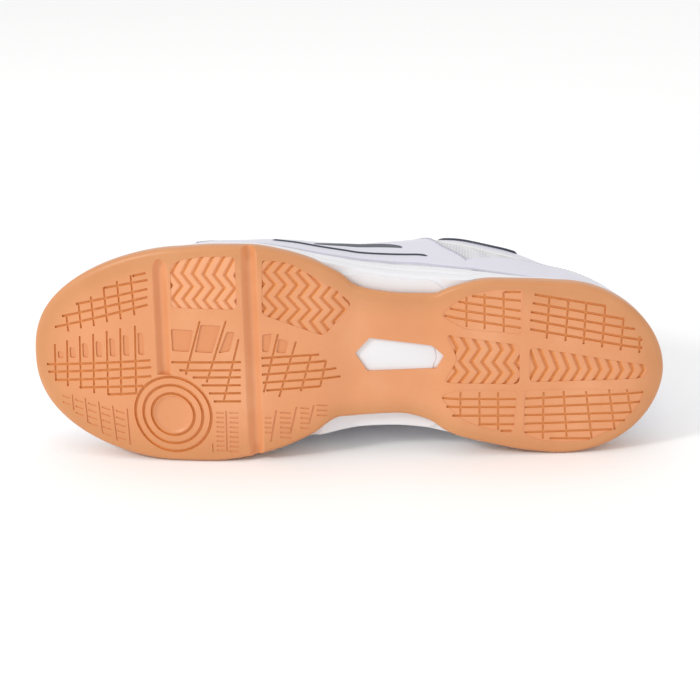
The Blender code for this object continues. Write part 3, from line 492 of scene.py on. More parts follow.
def groove(bm, line, width, depth, profile, closed=False, fade=0.0):
    """Add a closed cutter that follows a line of plan points (mm) under the tread, mitred at its bends. Over
    the first mm of the line, as many as fade says, it grows from a narrow, shallow start."""
    points = [Vector(point) for point in line]
    count = len(points)
    rings = []
    for i, here in enumerate(points):
        before = points[(i - 1) % count] if closed or i > 0 else None
        after = points[(i + 1) % count] if closed or i < count - 1 else None
        first = (here - before).normalized() if before is not None else (after - here).normalized()
        second = (after - here).normalized() if after is not None else first
        along = (first + second).normalized()
        sideways = Vector((-along.y, along.x))
        stretch = 1.0 / max(sideways.dot(Vector((-first.y, first.x))), MITRE_LIMIT)
        grown = min(1.0, sqrt(FADE_START + (here - points[0]).length / fade)) if fade else 1.0
        ring = []
        for side, deep in profile:
            at = here + sideways * side * width / 2 * stretch * grown
            ring.append(bm.verts.new(under(at.x, at.y, deep * depth * (grown if deep > 0.0 else 1.0))))
        rings.append(ring)
    pairs = list(zip(rings, rings[1:]))
    if closed:
        pairs.append((rings[-1], rings[0]))
    size = len(profile)
    for first, second in pairs:
        for k in range(size):
            bm.faces.new((first[k], first[(k + 1) % size], second[(k + 1) % size], second[k]))
    if not closed:
        bm.faces.new(rings[0][::-1])
        bm.faces.new(rings[-1])


def cells(start, end, longest=6.0):
    """A straight line of plan points, none further apart than longest."""
    start, end = Vector(start), Vector(end)
    count = max(1, ceil((end - start).length / longest))
    return [start.lerp(end, i / count) for i in range(count + 1)]


def prism(bm, corners, low=-3.0, high=4.0):
    """Add an upright prism over a polygon of plan points (mm), between two heights over the tread (mm)."""
    lower = [bm.verts.new(under(a, b, low)) for a, b in corners]
    upper_loop = [bm.verts.new(under(a, b, high)) for a, b in corners]
    bm.faces.new(lower)
    bm.faces.new(upper_loop[::-1])
    for i in range(len(corners)):
        j = (i + 1) % len(corners)
        bm.faces.new((lower[i], upper_loop[i], upper_loop[j], lower[j]))


def rounded(corners, radius):
    """The polygon with an arc in place of each corner."""
    soft = []
    points = [Vector(c) for c in corners]
    for i, here in enumerate(points):
        before, after = points[i - 1], points[(i + 1) % len(points)]
        cut = min(radius, (here - before).length * 0.45, (here - after).length * 0.45)
        start = here + (before - here).normalized() * cut
        end = here + (after - here).normalized() * cut
        for k in range(5):
            t = k / 4
            soft.append(tuple(start * (1 - t) ** 2 + here * 2 * t * (1 - t) + end * t * t))
    return soft


def carve(item, bm, look, operation="DIFFERENCE"):
    """Cut a bmesh out of a piece, or keep only what is inside it; the cut faces take the given look."""
    tool = new_piece("carving_tool", bm, [look])
    cut = item.modifiers.new("cut", "BOOLEAN")
    cut.operation = operation
    cut.solver = "EXACT"
    cut.material_mode = "TRANSFER"
    cut.object = tool
    shaped = item.evaluated_get(bpy.context.evaluated_depsgraph_get())
    mesh = bpy.data.meshes.new_from_object(shaped)
    item.modifiers.clear()
    item.data = mesh
    bpy.data.objects.remove(tool)


def recess(outlines, depth, look):
    """Carve flat-floored recesses of one depth, whose floors follow the tread."""
    slab = bmesh.new()
    groove(slab, cells(SLAB_START, SLAB_END, SLAB_STEP), SLAB_WIDTH, depth,
           ((-1.0, -SLAB_BELOW / depth), (-1.0, 1.0), (1.0, 1.0), (1.0, -SLAB_BELOW / depth)))
    floor_piece = new_piece("recess_floor", slab, [look])
    prisms = bmesh.new()
    for outline in outlines:
        prism(prisms, outline)
    carve(floor_piece, prisms, look, "INTERSECT")
    bm = bmesh.new()
    bm.from_mesh(floor_piece.data)
    bpy.data.objects.remove(floor_piece)
    carve(outsole, bm, look)


# Zigzag pads: outline, bends as (across, swing along), first channel, pitch and count of channels. Each is
# a pocket in the rubber with a ribbed floor, whose ribs lie a little below the tread around it.
ZIGZAG_PADS = (
    {"outline": ((227.4, 44.0), (222.6, 47.2), (212.0, 49.4), (197.2, 50.0), (196.4, 25.0), (227.2, 24.3)),
     "bends": ((53.0, -2.0), (41.0, 4.4), (35.0, -0.4), (28.8, 4.2), (20.0, -2.6)),
     "from": 186.6, "pitch": 4.95, "count": 10, "ribs": 2},
    {"outline": ((184.8, 49.0), (172.0, 47.6), (163.0, 42.6), (150.0, 34.6), (143.8, 28.3), (156.4, 13.6),
                 (170.0, 18.0), (185.0, 23.0)),
     "bends": ((51.0, -3.6), (43.0, 3.1), (37.4, -1.8), (31.7, 2.6), (25.9, -2.7), (20.2, 2.3), (11.0, -4.5)),
     "from": 138.5, "pitch": 5.15, "count": 11, "ribs": 0},
    {"outline": ((100.6, 15.8), (67.0, 12.1), (66.3, -6.7), (101.0, -7.4), (95.0, 4.5)),
     "bends": ((18.5, 3.2), (9.5, -2.0), (3.2, 1.8), (-1.7, -2.2), (-10.0, 3.4)),
     "from": 60.4, "pitch": 5.1, "count": 10, "ribs": 0},
    {"outline": ((62.4, 11.3), (9.6, 4.2), (7.8, 0.9), (11.0, -2.3), (61.8, -5.6)),
     "bends": ((14.5, 4.4), (1.4, -1.2), (-8.5, 4.0)), "from": 0.8, "pitch": 4.85, "count": 14, "ribs": 0},
)
RIB_LEVEL, CHANNEL_LEVEL, RIB_BACK, POCKET_DEPTH = 0.25, 1.25, 1.2, 2.2
PAD_CORNER, PAD_MARGIN = 2.6, 0.3
ZIGZAG_PROFILE = ((0.00, RIB_LEVEL), (0.03, RIB_LEVEL + 0.10), (0.15, CHANNEL_LEVEL), (0.23, CHANNEL_LEVEL),
                  (0.40, RIB_LEVEL + 0.16), (0.46, RIB_LEVEL), (0.73, RIB_LEVEL - 0.06))
ROW_STEP = 1.3

pad_outlines = [rounded(pad["outline"], PAD_CORNER) for pad in ZIGZAG_PADS]
recess(pad_outlines, POCKET_DEPTH, gum[0])


def kept_inside(point, outline):
    """Whether a plan point lies in a polygon, and the point itself or else one just outside the outline."""
    inside, nearest = False, None
    for i in range(len(outline)):
        a, b = Vector(outline[i - 1]), Vector(outline[i])
        if (a.y > point.y) != (b.y > point.y):
            if point.x < a.x + (b.x - a.x) * (point.y - a.y) / (b.y - a.y):
                inside = not inside
        edge = b - a
        t = min(max((point - a).dot(edge) / max(edge.length_squared, 1e-9), 0.0), 1.0)
        if nearest is None or (a + edge * t - point).length < (nearest - point).length:
            nearest = a + edge * t
    if inside or (point - nearest).length < PAD_MARGIN:
        return inside, point
    return inside, nearest + (point - nearest).normalized() * PAD_MARGIN


rib_patches = bmesh.new()
for pad, outline in zip(ZIGZAG_PADS, pad_outlines):
    bends, per_pitch = pad["bends"], len(ZIGZAG_PROFILE)
    rows = []
    for (start_across, start_swing), (end_across, end_swing) in zip(bends, bends[1:]):
        parts = ceil((start_across - end_across) / ROW_STEP)
        rows += [(start_across + (end_across - start_across) * k / parts,
                  start_swing + (end_swing - start_swing) * k / parts) for k in range(parts)]
    rows.append(bends[-1])
    plan = []
    for column in range(pad["count"] * per_pitch + 1):
        share, level = ZIGZAG_PROFILE[column % per_pitch]
        base = pad["from"] + pad["pitch"] * (column // per_pitch + share)
        line = []
        for across, swing in rows:
            inside, at = kept_inside(Vector((base + swing, across)), outline)
            line.append((rib_patches.verts.new(under(at.x, at.y, level)), inside))
        plan.append(line)
    for number, (first, second) in enumerate(zip(plan, plan[1:])):
        for k in range(len(rows) - 1):
            corners = (first[k], first[k + 1], second[k + 1], second[k])
            if any(inside for vertex, inside in corners):
                face = rib_patches.faces.new([vertex for vertex, inside in corners])
                # Faces deep in a channel take the painted groove shade
                face.material_index = 1 if number % per_pitch in (1, 2) else pad["ribs"]
# The ribbed sheets get a back inside the rubber, which closes them
loose = [vertex for vertex in rib_patches.verts if not vertex.link_faces]
bmesh.ops.delete(rib_patches, geom=loose, context="VERTS")
backing = bmesh.ops.extrude_face_region(rib_patches, geom=rib_patches.faces[:], use_keep_orig=True)
deeper = under(200.0, 0.0, RIB_BACK) - under(200.0, 0.0, 0.0)
for item in backing["geom"]:
    if isinstance(item, bmesh.types.BMVert):
        item.co += deeper
bmesh.ops.recalc_face_normals(rib_patches, faces=rib_patches.faces)

# Shallow cells between the grooves, and faint ladders of short bars along the inner side
long_inner = smooth_curve([237.9, 290.6], [-1.9, -9.9])
CELLS = [
    ((227.6, 14.2), (217.0, 14.2), (219.2, 3.5), (227.2, 3.5)),
    ((213.5, 17.0), (204.1, 17.0), (208.2, 3.6), (216.4, 3.6)),
    ((201.2, 14.3), (197.6, 14.3), (200.0, 4.9), (205.3, 3.6)),
    ((184.8, 13.4), (180.4, 14.2), (182.0, 5.0), (184.8, 5.2)),
    ((177.2, 11.8), (173.0, 10.8), (174.0, 4.8), (178.4, 5.0)),
]
CELL_TOPS = ((285.8, 0.8), (279.5, 3.6), (272.9, 6.4), (266.0, 8.2), (259.1, 10.4), (252.3, 12.5),
             (245.0, 14.4))
CELL_CORNER, CELL_DEPTH = 0.9, 0.55
for along, top in CELL_TOPS:
    floor_across = long_inner(along) + 3.4
    CELLS.append(((along - 1.2, top - 3.2), (along - 4.0, top - 3.6), (along - 4.2, floor_across),
                  (along - 1.3, floor_across)))
# The cell floors take the darker look, painted shade in the recesses
recess([rounded(cell, CELL_CORNER) for cell in CELLS], CELL_DEPTH, gum_cell_shade[0])

# Three of the heel's grids lie a little below the smooth band around them
HEEL_FIELDS = (
    ((103.2, 24.4), (98.5, 30.0), (91.0, 34.9), (80.0, 37.8), (66.4, 38.6), (66.0, 17.0), (92.0, 18.8)),
    ((102.6, -14.2), (96.4, -21.4), (90.2, -25.8), (80.0, -29.0), (68.2, -30.8), (66.6, -9.6), (94.0, -10.2)),
    ((9.0, -8.2), (12.8, -17.0), (22.0, -26.6), (34.6, -33.2), (46.0, -34.2), (56.0, -33.6), (63.6, -31.0),
     (63.8, -9.2), (36.0, -7.8)),
)
HEEL_FIELD_CORNER, HEEL_FIELD_DEPTH = 2.5, 0.22
recess([rounded(field, HEEL_FIELD_CORNER) for field in HEEL_FIELDS], HEEL_FIELD_DEPTH, gum[0])

LADDER_LINES = (
    (277.8, -23.4, 277.4, -31.0), (271.2, -24.2, 270.2, -36.7), (264.3, -25.2, 262.9, -40.6),
    (257.3, -26.3, 255.6, -43.6), (250.0, -27.0, 249.0, -45.0), (202.0, -24.5, 201.7, -44.5),
    (208.6, -41.0, 208.4, -45.5), (178.4, -23.2, 181.0, -38.7), (168.9, -21.2, 171.8, -34.6),
    (160.8, -20.1, 163.0, -29.3),
)
# Rungs: start and end along, first across, count, fall and pitch
LADDERS = (
    (283.0, 279.0, -24.5, 2, 0.8, 3.3), (276.4, 272.4, -25.6, 3, 0.9, 3.3),
    (269.8, 265.6, -26.6, 4, 0.9, 3.3), (262.8, 258.6, -27.6, 5, 0.9, 3.3),
    (255.8, 251.4, -28.6, 5, 0.9, 3.3), (206.6, 203.0, -25.5, 9, 0.0, 2.35),
    (200.4, 196.2, -25.2, 9, 0.0, 2.4), (183.6, 180.6, -27.0, 4, 0.0, 2.45),
    (176.6, 171.6, -24.2, 6, 0.2, 2.45), (167.0, 163.0, -21.6, 5, 0.2, 2.45),
    (159.4, 154.6, -20.0, 3, 0.2, 2.45),
)


def straight_grooves(lines, width, depth, look):
    """Carve thin grooves along lines, each given by its start along and across and its end."""
    grooves = bmesh.new()
    for start_along, start_across, end_along, end_across in lines:
        groove(grooves, cells((start_along, start_across), (end_along, end_across)), width, depth, SLOT)
    carve(outsole, grooves, look)


straight_grooves(LADDER_LINES, 0.8, 0.45, gum[0])
rungs = [(start_along, first_across - pitch * k, end_along, first_across - pitch * k - fall)
         for start_along, end_along, first_across, count, fall, pitch in LADDERS for k in range(count)]
straight_grooves(rungs, 0.9, 0.40, gum[0])

# Grids of thin grooves: each line runs between two plan points, in millimetres.
LONG_LINES = (
    (285.5, 9.3, 238.5, 25.0), (281.5, 15.2, 238.5, 28.7), (274.0, 22.0, 238.3, 32.6),
    (259.4, 31.3, 238.2, 36.9), (245.4, 38.2, 239.0, 40.1), (290.6, -9.9, 237.9, -1.9),
    (290.0, -13.6, 237.5, -5.3), (286.7, -17.2, 237.6, -9.7), (274.0, -19.2, 241.7, -14.8),
    (259.0, -20.9, 245.3, -18.9), (227.7, -2.0, 194.8, -0.1), (223.9, -5.7, 194.9, -4.0),
    (217.6, -8.8, 194.9, -7.5), (213.4, -12.4, 195.0, -11.4), (210.0, -16.2, 195.0, -15.3),
    (207.8, -20.0, 195.0, -19.3), (185.2, 2.1, 158.5, 4.7), (185.0, -1.6, 155.3, 1.6),
    (185.1, -5.9, 150.6, -2.1), (184.6, -9.8, 148.7, -6.1), (183.0, -13.6, 158.0, -10.7),
    (101.5, 24.6, 66.8, 20.2), (99.1, 28.2, 67.0, 24.4), (95.3, 31.7, 67.2, 28.2),
    (89.3, 34.6, 67.3, 32.9), (74.7, 36.9, 67.5, 37.1), (61.2, 36.1, 29.6, 31.7),
    (61.9, 32.1, 20.7, 25.8), (62.6, 27.9, 15.5, 21.1), (62.7, 24.1, 11.9, 15.9),
    (62.5, 19.8, 11.7, 12.1), (101.3, -15.1, 67.7, -14.0), (99.4, -19.0, 67.6, -17.9),
    (96.5, -23.1, 68.1, -22.1), (84.3, -26.9, 67.9, -26.3), (74.0, -29.7, 69.0, -29.5),
    (63.2, -13.6, 9.9, -9.1), (63.4, -17.8, 11.0, -13.7), (63.3, -21.7, 14.8, -18.7),
    (63.1, -25.9, 17.4, -22.6), (62.9, -30.1, 23.1, -27.2), (51.3, -32.6, 32.9, -32.0),
)
CROSS_LINES = (
    (279.2, 16.2, 278.6, 8.0), (272.7, 22.5, 271.9, 10.3), (266.3, 26.5, 265.3, 12.2),
    (259.8, 31.6, 258.6, 14.8), (253.1, 35.2, 251.8, 16.8), (246.3, 38.5, 245.0, 19.4),
    (285.9, 0.8, 286.2, -17.4), (279.4, 3.6, 280.0, -19.4), (272.8, 6.4, 273.2, -19.8),
    (265.9, 8.2, 266.5, -21.2), (259.0, 10.4, 259.4, -21.4), (252.2, 12.5, 252.8, -20.8),
    (244.9, 14.4, 245.3, -19.2), (213.8, 18.8, 220.9, -7.6), (201.6, 19.4, 211.0, -10.8),
    (195.7, 11.0, 203.1, -19.8), (177.5, 14.0, 184.2, -14.5), (169.2, 10.6, 177.0, -16.5),
    (162.2, 4.3, 166.9, -13.4), (155.3, 1.6, 158.0, -10.9), (91.8, 34.1, 91.3, 19.9),
    (83.7, 35.7, 83.1, 19.2), (75.2, 36.9, 74.4, 18.1), (54.5, 36.0, 54.9, 15.6),
    (46.0, 34.8, 46.4, 14.6), (37.9, 33.2, 38.2, 13.4), (29.4, 31.9, 29.8, 12.2),
    (20.9, 26.0, 21.4, 11.0), (13.2, 17.6, 12.8, 9.8), (93.1, -11.4, 92.8, -23.4),
    (84.4, -11.2, 83.8, -27.5), (75.9, -10.9, 75.2, -29.2), (55.1, -10.2, 54.5, -32.9),
    (46.0, -9.4, 43.4, -33.0), (35.9, -9.1, 32.0, -32.0), (25.5, -7.8, 21.8, -27.4),
    (17.4, -7.6, 14.8, -19.0),
)
# The grid's grooves take the painted groove shade
straight_grooves(LONG_LINES, 1.25, 1.0, gum_groove_shade[0])
straight_grooves(CROSS_LINES, 1.0, 0.85, gum_groove_shade[0])

# The turning disc's rings and its dished middle, the flex channels and the window at the waist
DISC_CENTRE = (227.5, -27.7)
RING_RADII, RING_WIDTH, RING_DEPTH = (18.4, 14.4, 10.3), 1.5, 1.3
BOWL_RINGS = ((9.5, -0.3), (9.2, 0.02), (8.8, 0.45), (8.0, 0.85), (6.6, 1.15), (4.4, 1.38), (1.5, 1.5))
CHANNEL_WIDTH, CHANNEL_DEPTH, NOTCH_DEPTH = 8.2, 2.5, 3.6
WINDOW = ((142.2, 4.8), (135.6, 12.5), (106.6, 9.7), (101.0, 5.3), (104.6, -1.2), (136.3, -3.7))


def circle(radius, sides=56):
    return [(DISC_CENTRE[0] + radius * cos(2 * pi * k / sides),
             DISC_CENTRE[1] + radius * sin(2 * pi * k / sides)) for k in range(sides)]


rings = bmesh.new()
for radius in RING_RADII:
    groove(rings, circle(radius), RING_WIDTH, RING_DEPTH, SLOT, closed=True)
# The rings' grooves take the painted groove shade
carve(outsole, rings, gum_groove_shade[0])
big = bmesh.new()
groove(big, cells((232.5, 47.2), (231.2, -8.6), 1.2), 8.0, CHANNEL_DEPTH, TROUGH, fade=4.0)
groove(big, cells((191.3, 62.0), (187.4, -56.0), 3.0), CHANNEL_WIDTH, CHANNEL_DEPTH, TROUGH)
prism(big, rounded(WINDOW, 0.8), -6.0, 12.0)
bowl = []
for radius, deep in BOWL_RINGS:
    bowl.append([big.verts.new(under(a, b, deep)) for a, b in circle(radius)])
for outer, inner in zip(bowl, bowl[1:]):
    for k in range(len(outer)):
        big.faces.new((outer[k - 1], outer[k], inner[k], inner[k - 1]))
big.faces.new(bowl[0])
big.faces.new(bowl[-1][::-1])
carve(outsole, big, gum[0])
# The rear flex channel deepens towards its ends, so that it runs out over the rounded edge
notches = bmesh.new()
for start, end in (((190.59, 40.5), (191.3, 62.0)), ((188.16, -33.0), (187.4, -56.0))):
    groove(notches, cells(start, end, 1.2), CHANNEL_WIDTH, NOTCH_DEPTH, TROUGH, fade=14.0)
carve(outsole, notches, gum[0])


def join(bm, other):
    """Add the faces of a second bmesh to the first."""
    spare = bpy.data.meshes.new("spare")
    other.to_mesh(spare)
    other.free()
    bm.from_mesh(spare)
    bpy.data.meshes.remove(spare)


whole = bmesh.new()
whole.from_mesh(outsole.data)
join(whole, rib_patches)
whole.to_mesh(outsole.data)
whole.free()
outsole.data.shade_smooth()
TREAD_SHARP = 28
outsole.data.set_sharp_from_angle(angle=radians(TREAD_SHARP))
evened = outsole.modifiers.new("evened", "WEIGHTED_NORMAL")
evened.keep_sharp = True
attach(outsole, "root")
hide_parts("outsole")

# Midsole: white foam that fills the rubber cup and shows at the waist and along the side, where a rib and
# a step run along it. A softer ring lets it lean in up to the line where it meets the upper.

GAP, FOAM_GAP, FOAM_LIP = 0.0003, 0.0005, 0.0012
RIB_DEPTH = 0.0007
CUP_ENDS, CUP_STARTS = (0.318, 0.362), (0.468, 0.530)
BLOCK_TOP, BLOCK_BEVEL = 5.5, 0.0004

foam = shader_of("foam_look", (0.76, 0.755, 0.775), 0.50)
add_bump(foam, ((noise(foam, 1100.0, 2.0), 0.05),), 0.0005)


def foam_low(here):
    return ground_line(here) + TREAD_THICKNESS + FOAM_GAP


def cup_share(station):
    """1 where the rubber has a rim around the foam, 0 at the waist."""
    return 1.0 - ease(*CUP_ENDS, station) * (1.0 - ease(*CUP_STARTS, station))


def foam_side(share):
    def height(here):
        low = max(rim_line(here) + FOAM_GAP, foam_low(here) + FOAM_LIP)
        return low + (bite_line(here) - low) * share
    return height


# Each ring is (place, extra, height): the place is "cup", "top" or the share of the way from the foam's
# widest edge to the bite line, and the extra is a share towards the spine or, on the side, an inset.
FOAM_RINGS = [
    ("cup", 1.0, foam_low), ("cup", 0.65, foam_low), ("cup", 0.3, foam_low), ("cup", 0.0, foam_low),
    ("cup", 0.0, foam_side(0.0)), (0.0, 0.0003, foam_side(0.02)), (0.06, 0.0, foam_side(0.07)),
    (0.22, -0.0002, foam_side(0.22)), (0.36, 0.0, foam_side(0.36)), (0.45, 0.0, foam_side(0.43)),
    (0.50, 0.0002, foam_side(0.455)), (0.56, RIB_DEPTH, foam_side(0.475)), (0.60, RIB_DEPTH, foam_side(0.51)),
    (0.60, 0.0002, foam_side(0.54)), (0.62, -0.0002, foam_side(0.57)), (0.72, -0.0002, foam_side(0.69)),
    (0.80, 0.0, foam_side(0.76)), (0.84, 0.0005, foam_side(0.785)), (0.86, 0.0005, foam_side(0.81)),
    (0.88, 0.0, foam_side(0.835)), (0.95, 0.0, foam_side(0.92)), (0.98, 0.0003, foam_side(0.98)),
    (1.0, 0.0012, foam_side(1.0)), ("top", 0.5, foam_side(1.0)), ("top", 1.0, foam_side(1.0)),
]


def foam_point(index, row):
    kind, extra, height = FOAM_RINGS[row]
    index = index % (2 * STEPS)
    top_along, top_across, station = edge_point(index, "bite", 0.0)
    spine_along, spine_across = spine_place(station)
    if kind == "cup":
        in_along, in_across, station = edge_point(index, "tread", RIM_WALL + RIM_LEAN + FOAM_GAP)
        out_along, out_across, station = edge_point(index, "foam", 0.0015)
        share = cup_share(station)
        along = out_along + (in_along - out_along) * share
        across = out_across + (in_across - out_across) * share
        along += (spine_along - along) * extra
        across += (spine_across - across) * extra
    elif kind == "top":
        along = top_along + (spine_along - top_along) * extra
        across = top_across + (spine_across - top_across) * extra
    else:
        lean_along, lean_across, station = edge_point(index, "foam", GAP + extra)
        slim_along, slim_across, station = edge_point(index, "bite", extra)
        along = lean_along + (slim_along - lean_along) * kind
        across = lean_across + (slim_across - lean_across) * kind
    return place(along, across, height(along / SHOE_LENGTH))


# The foam rises in the waist window, up to an arc near its heel end
WINDOW_FOAM = ((143.6, 4.8), (136.0, 14.0), (107.4, 11.4), (105.6, 8.0), (104.8, 5.6), (104.7, 3.4),
               (105.4, 1.0), (106.8, -1.4), (107.2, -2.8), (137.0, -5.2))
WINDOW_BACK = ((110.0, 11.6), (106.0, 11.2), (99.6, 5.4), (103.6, -2.6), (110.0, -3.2))
foam_shape = mapped_grid(2 * STEPS, len(FOAM_RINGS) - 1, foam_point)
for outline, level in ((WINDOW_FOAM, 1.3), (WINDOW_BACK, 1.9)):
    raised = bmesh.new()
    prism(raised, outline, level, BLOCK_TOP)
    bmesh.ops.bevel(raised, geom=raised.edges[:], offset=BLOCK_BEVEL, offset_type="OFFSET", segments=3,
                    profile=0.5, affect="EDGES")
    join(foam_shape, raised)
midsole = new_piece("midsole_foam", foam_shape, [foam[0]], 50)
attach(midsole, "root")
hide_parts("midsole")

# Upper: one hollow shell of light mesh over lining. Its wall grows into a padded collar, whose edge rolls
# over into the lining. It is open at the collar and down the throat.

INSTEP_HEIGHT, TOE_BOX_HEIGHT, ANKLE_HEIGHT, HEEL_TAB_HEIGHT = 0.118, 0.0500, 0.0680, 0.0860
UPPER_WALL, COLLAR_PADDING = 0.0020, 0.0060
UPPER_LEDGE = 0.0010
COLLAR_FRONT, THROAT_BACK, THROAT_FRONT, THROAT_TIP = 0.335, 0.385, 0.625, 0.665
THROAT_HALF_BACK, THROAT_HALF_FRONT = 0.0165, 0.0130
HEEL_LEAN, HEEL_SWELL = 0.0060, 0.0022
LAST_COLUMNS = ("station", "follows", "ridge", "square_up", "square_across", "bulge_out", "bulge_in")
LAST_ROWS = (
    (0.00, INSTEP_HEIGHT, 1.020, 1.90, 2.4, 0.0000, 0.0000),
    (0.07, INSTEP_HEIGHT, 1.020, 1.95, 2.4, -0.0022, 0.0004),
    (0.14, INSTEP_HEIGHT, 1.020, 2.00, 2.4, -0.0004, 0.0010),
    (0.24, INSTEP_HEIGHT, 1.060, 2.60, 2.5, 0.0040, 0.0032),
    (0.32, INSTEP_HEIGHT, 1.060, 3.10, 2.6, 0.0034, 0.0062),
    (0.40, INSTEP_HEIGHT, 0.965, 3.10, 2.6, 0.0022, 0.0068),
    (0.50, INSTEP_HEIGHT, 0.780, 2.80, 2.6, 0.0006, 0.0046),
    (0.58, INSTEP_HEIGHT, 0.675, 2.60, 2.5, 0.0000, 0.0024),
    (0.66, INSTEP_HEIGHT, 0.590, 2.45, 2.5, -0.0012, 0.0012),
    (0.74, TOE_BOX_HEIGHT, 1.240, 2.40, 2.4, -0.0008, 0.0004),
    (0.82, TOE_BOX_HEIGHT, 1.100, 2.35, 2.4, 0.0000, 0.0000),
    (0.89, TOE_BOX_HEIGHT, 0.975, 2.30, 2.4, 0.0000, 0.0000),
    (0.93, TOE_BOX_HEIGHT, 0.868, 2.25, 2.4, 0.0000, 0.0000),
    (0.965, TOE_BOX_HEIGHT, 0.724, 2.20, 2.4, 0.0000, 0.0000),
    (0.99, TOE_BOX_HEIGHT, 0.552, 2.20, 2.4, 0.0000, 0.0000),
    (1.00, TOE_BOX_HEIGHT, 0.440, 2.20, 2.4, 0.0000, 0.0000),
)
COLLAR_COLUMNS = ("station", "follows", "height")
COLLAR_ROWS = (
    (0.00, HEEL_TAB_HEIGHT, 1.000), (0.04, HEEL_TAB_HEIGHT, 0.960), (0.10, ANKLE_HEIGHT, 1.060),
    (0.17, ANKLE_HEIGHT, 1.060), (0.22, ANKLE_HEIGHT, 1.035), (0.28, ANKLE_HEIGHT, 1.120),
    (0.34, INSTEP_HEIGHT, 0.760), (0.38, INSTEP_HEIGHT, 0.830),
)
LAST = table(LAST_ROWS, LAST_COLUMNS)
COLLAR = table(COLLAR_ROWS, COLLAR_COLUMNS)


def last_width(station, side):
    """Half width of the upper at the bite line, a small ledge inside the midsole's edge."""
    half = reach(station, side, "bite")
    return half - UPPER_LEDGE * min(half / NARROW, 1.0)


def last_along(station):
    start = BITE_HEEL_INSET + UPPER_LEDGE
    return start + (SHOE_LENGTH - BITE_TOE_INSET - UPPER_LEDGE - start) * station


def last_point(station, angle, side):
    """A point of the last's section at a station; angle is 0 at the bite line and a right angle on top."""
    along = last_along(station)
    low = bite_line(along / SHOE_LENGTH) + GAP
    rise = LAST["ridge"](station) + toe_lift(along / SHOE_LENGTH) - low
    share = sin(angle) ** (2.0 / LAST["square_up"](station))
    bulge = LAST["bulge_out" if side > 0 else "bulge_in"](station) * sin(pi * share)
    slim = max(cos(angle), 0.0) ** (2.0 / LAST["square_across"](station))
    half = last_width(station, side) * slim + bulge
    up = low + rise * share
    height = min(max((up - low) / (HEEL_TAB_HEIGHT - SOLE_HEIGHT), 0.0), 1.3)
    near_heel = max(1.0 - station / 0.30, 0.0) ** 1.5
    lean = (HEEL_LEAN * height ** 2 - HEEL_SWELL * sin(pi * min(height, 1.0))) * near_heel
    return along + lean, middle(station) + side * half, up


def angle_at_height(station, height):
    here = last_along(station) / SHOE_LENGTH
    low = bite_line(here) + GAP
    rise = LAST["ridge"](station) + toe_lift(here) - low
    share = min(max((height - low) / rise, 0.0), 0.999)
    return asin(share ** (LAST["square_up"](station) / 2.0))


def angle_at_width(station, side, width):
    full = last_width(station, side)
    if full < 1e-5:
        return 0.0
    share = min(max(width / full, 0.0), 1.0)
    return acos(share ** (LAST["square_across"](station) / 2.0))


def opening_angle(station, side):
    """Angle of the upper's top edge: collar at the back, throat edge in front."""
    collar = angle_at_height(station, COLLAR["height"](station))
    along_throat = min(max((station - THROAT_BACK) / (THROAT_FRONT - THROAT_BACK), 0.0), 1.0)
    half = THROAT_HALF_BACK + (THROAT_HALF_FRONT - THROAT_HALF_BACK) * along_throat
    throat = angle_at_width(station, side, half)
    return collar + (throat - collar) * ease(COLLAR_FRONT, THROAT_BACK, station)


def upper_place(turn, share):
    """The upper's outer face. Turn runs 0 heel, 1 toe by the outer side, 2 heel again by the inner side;
    share runs from the bite line to the opening."""
    turn = turn % 2.0
    side = 1.0 if turn <= 1.0 else -1.0
    turn = min(turn, 2.0 - turn)
    station = station_at(turn)
    if station <= THROAT_FRONT:
        return last_point(station, opening_angle(station, side) * share, side)
    corner = opening_angle(THROAT_FRONT, side)
    power = 2.0 / LAST["square_across"](THROAT_FRONT)
    inward = (1.0 - max(cos(corner * share), 0.0) ** power) / (1.0 - cos(corner) ** power)
    first_turn = station_turn(THROAT_FRONT)
    tip_turn = (turn - first_turn) / (1.0 - first_turn) * pi / 2.0
    goal_station = THROAT_FRONT + (THROAT_TIP - THROAT_FRONT) * sin(tip_turn)
    goal_across = side * THROAT_HALF_FRONT * cos(tip_turn)
    here = station + (goal_station - station) * inward
    low_across = middle(station) + side * last_width(station, side)
    across = low_across + (goal_across - low_across) * inward - middle(here)
    here_side = 1.0 if across > 0 else -1.0
    return last_point(here, angle_at_width(here, here_side, abs(across)), here_side)


def upper_frame(turn, share):
    """A point of the upper's outer face, its outward normal and the direction that rises on it."""
    here = place(*upper_place(turn, share))
    low, high = max(share - 0.02, 0.0), min(share + 0.02, 1.0)
    along = place(*upper_place(turn + 0.008, share)) - place(*upper_place(turn - 0.008, share))
    rising = place(*upper_place(turn, high)) - place(*upper_place(turn, low))
    return here, rising.cross(along).normalized(), rising.normalized()


def upper_point(turn, share, lift=0.0):
    here, outward, rising = upper_frame(turn, share)
    return here + outward * lift


def turn_of(station, side):
    """Turn around the shoe of a station on one side."""
    turn = station_turn(station)
    return turn if side > 0 else 2.0 - turn


mesh_cloth = shader_of("mesh_look", (0.62, 0.62, 0.65), 0.75)
# The leather is white; its lavender tint is a painted cool reflection
leather = shader_of("leather_painted_cool_reflection_look", (0.66, 0.65, 0.73), 0.38, 0.15)
lining = shader_of("lining_look", (0.62, 0.60, 0.605), 0.92)
cream = shader_of("cream_look", (0.78, 0.765, 0.71), 0.45)
navy = shader_of("navy_look", (0.018, 0.024, 0.045), 0.40)


def cell_texture(look_parts, scale, stretch=(1.0, 1.0, 1.0)):
    """Round cells of a knitted mesh."""
    texture = on_object(look_parts, "ShaderNodeTexVoronoi", scale, stretch)
    texture.inputs["Randomness"].default_value = 0.25
    return texture.outputs["Distance"]


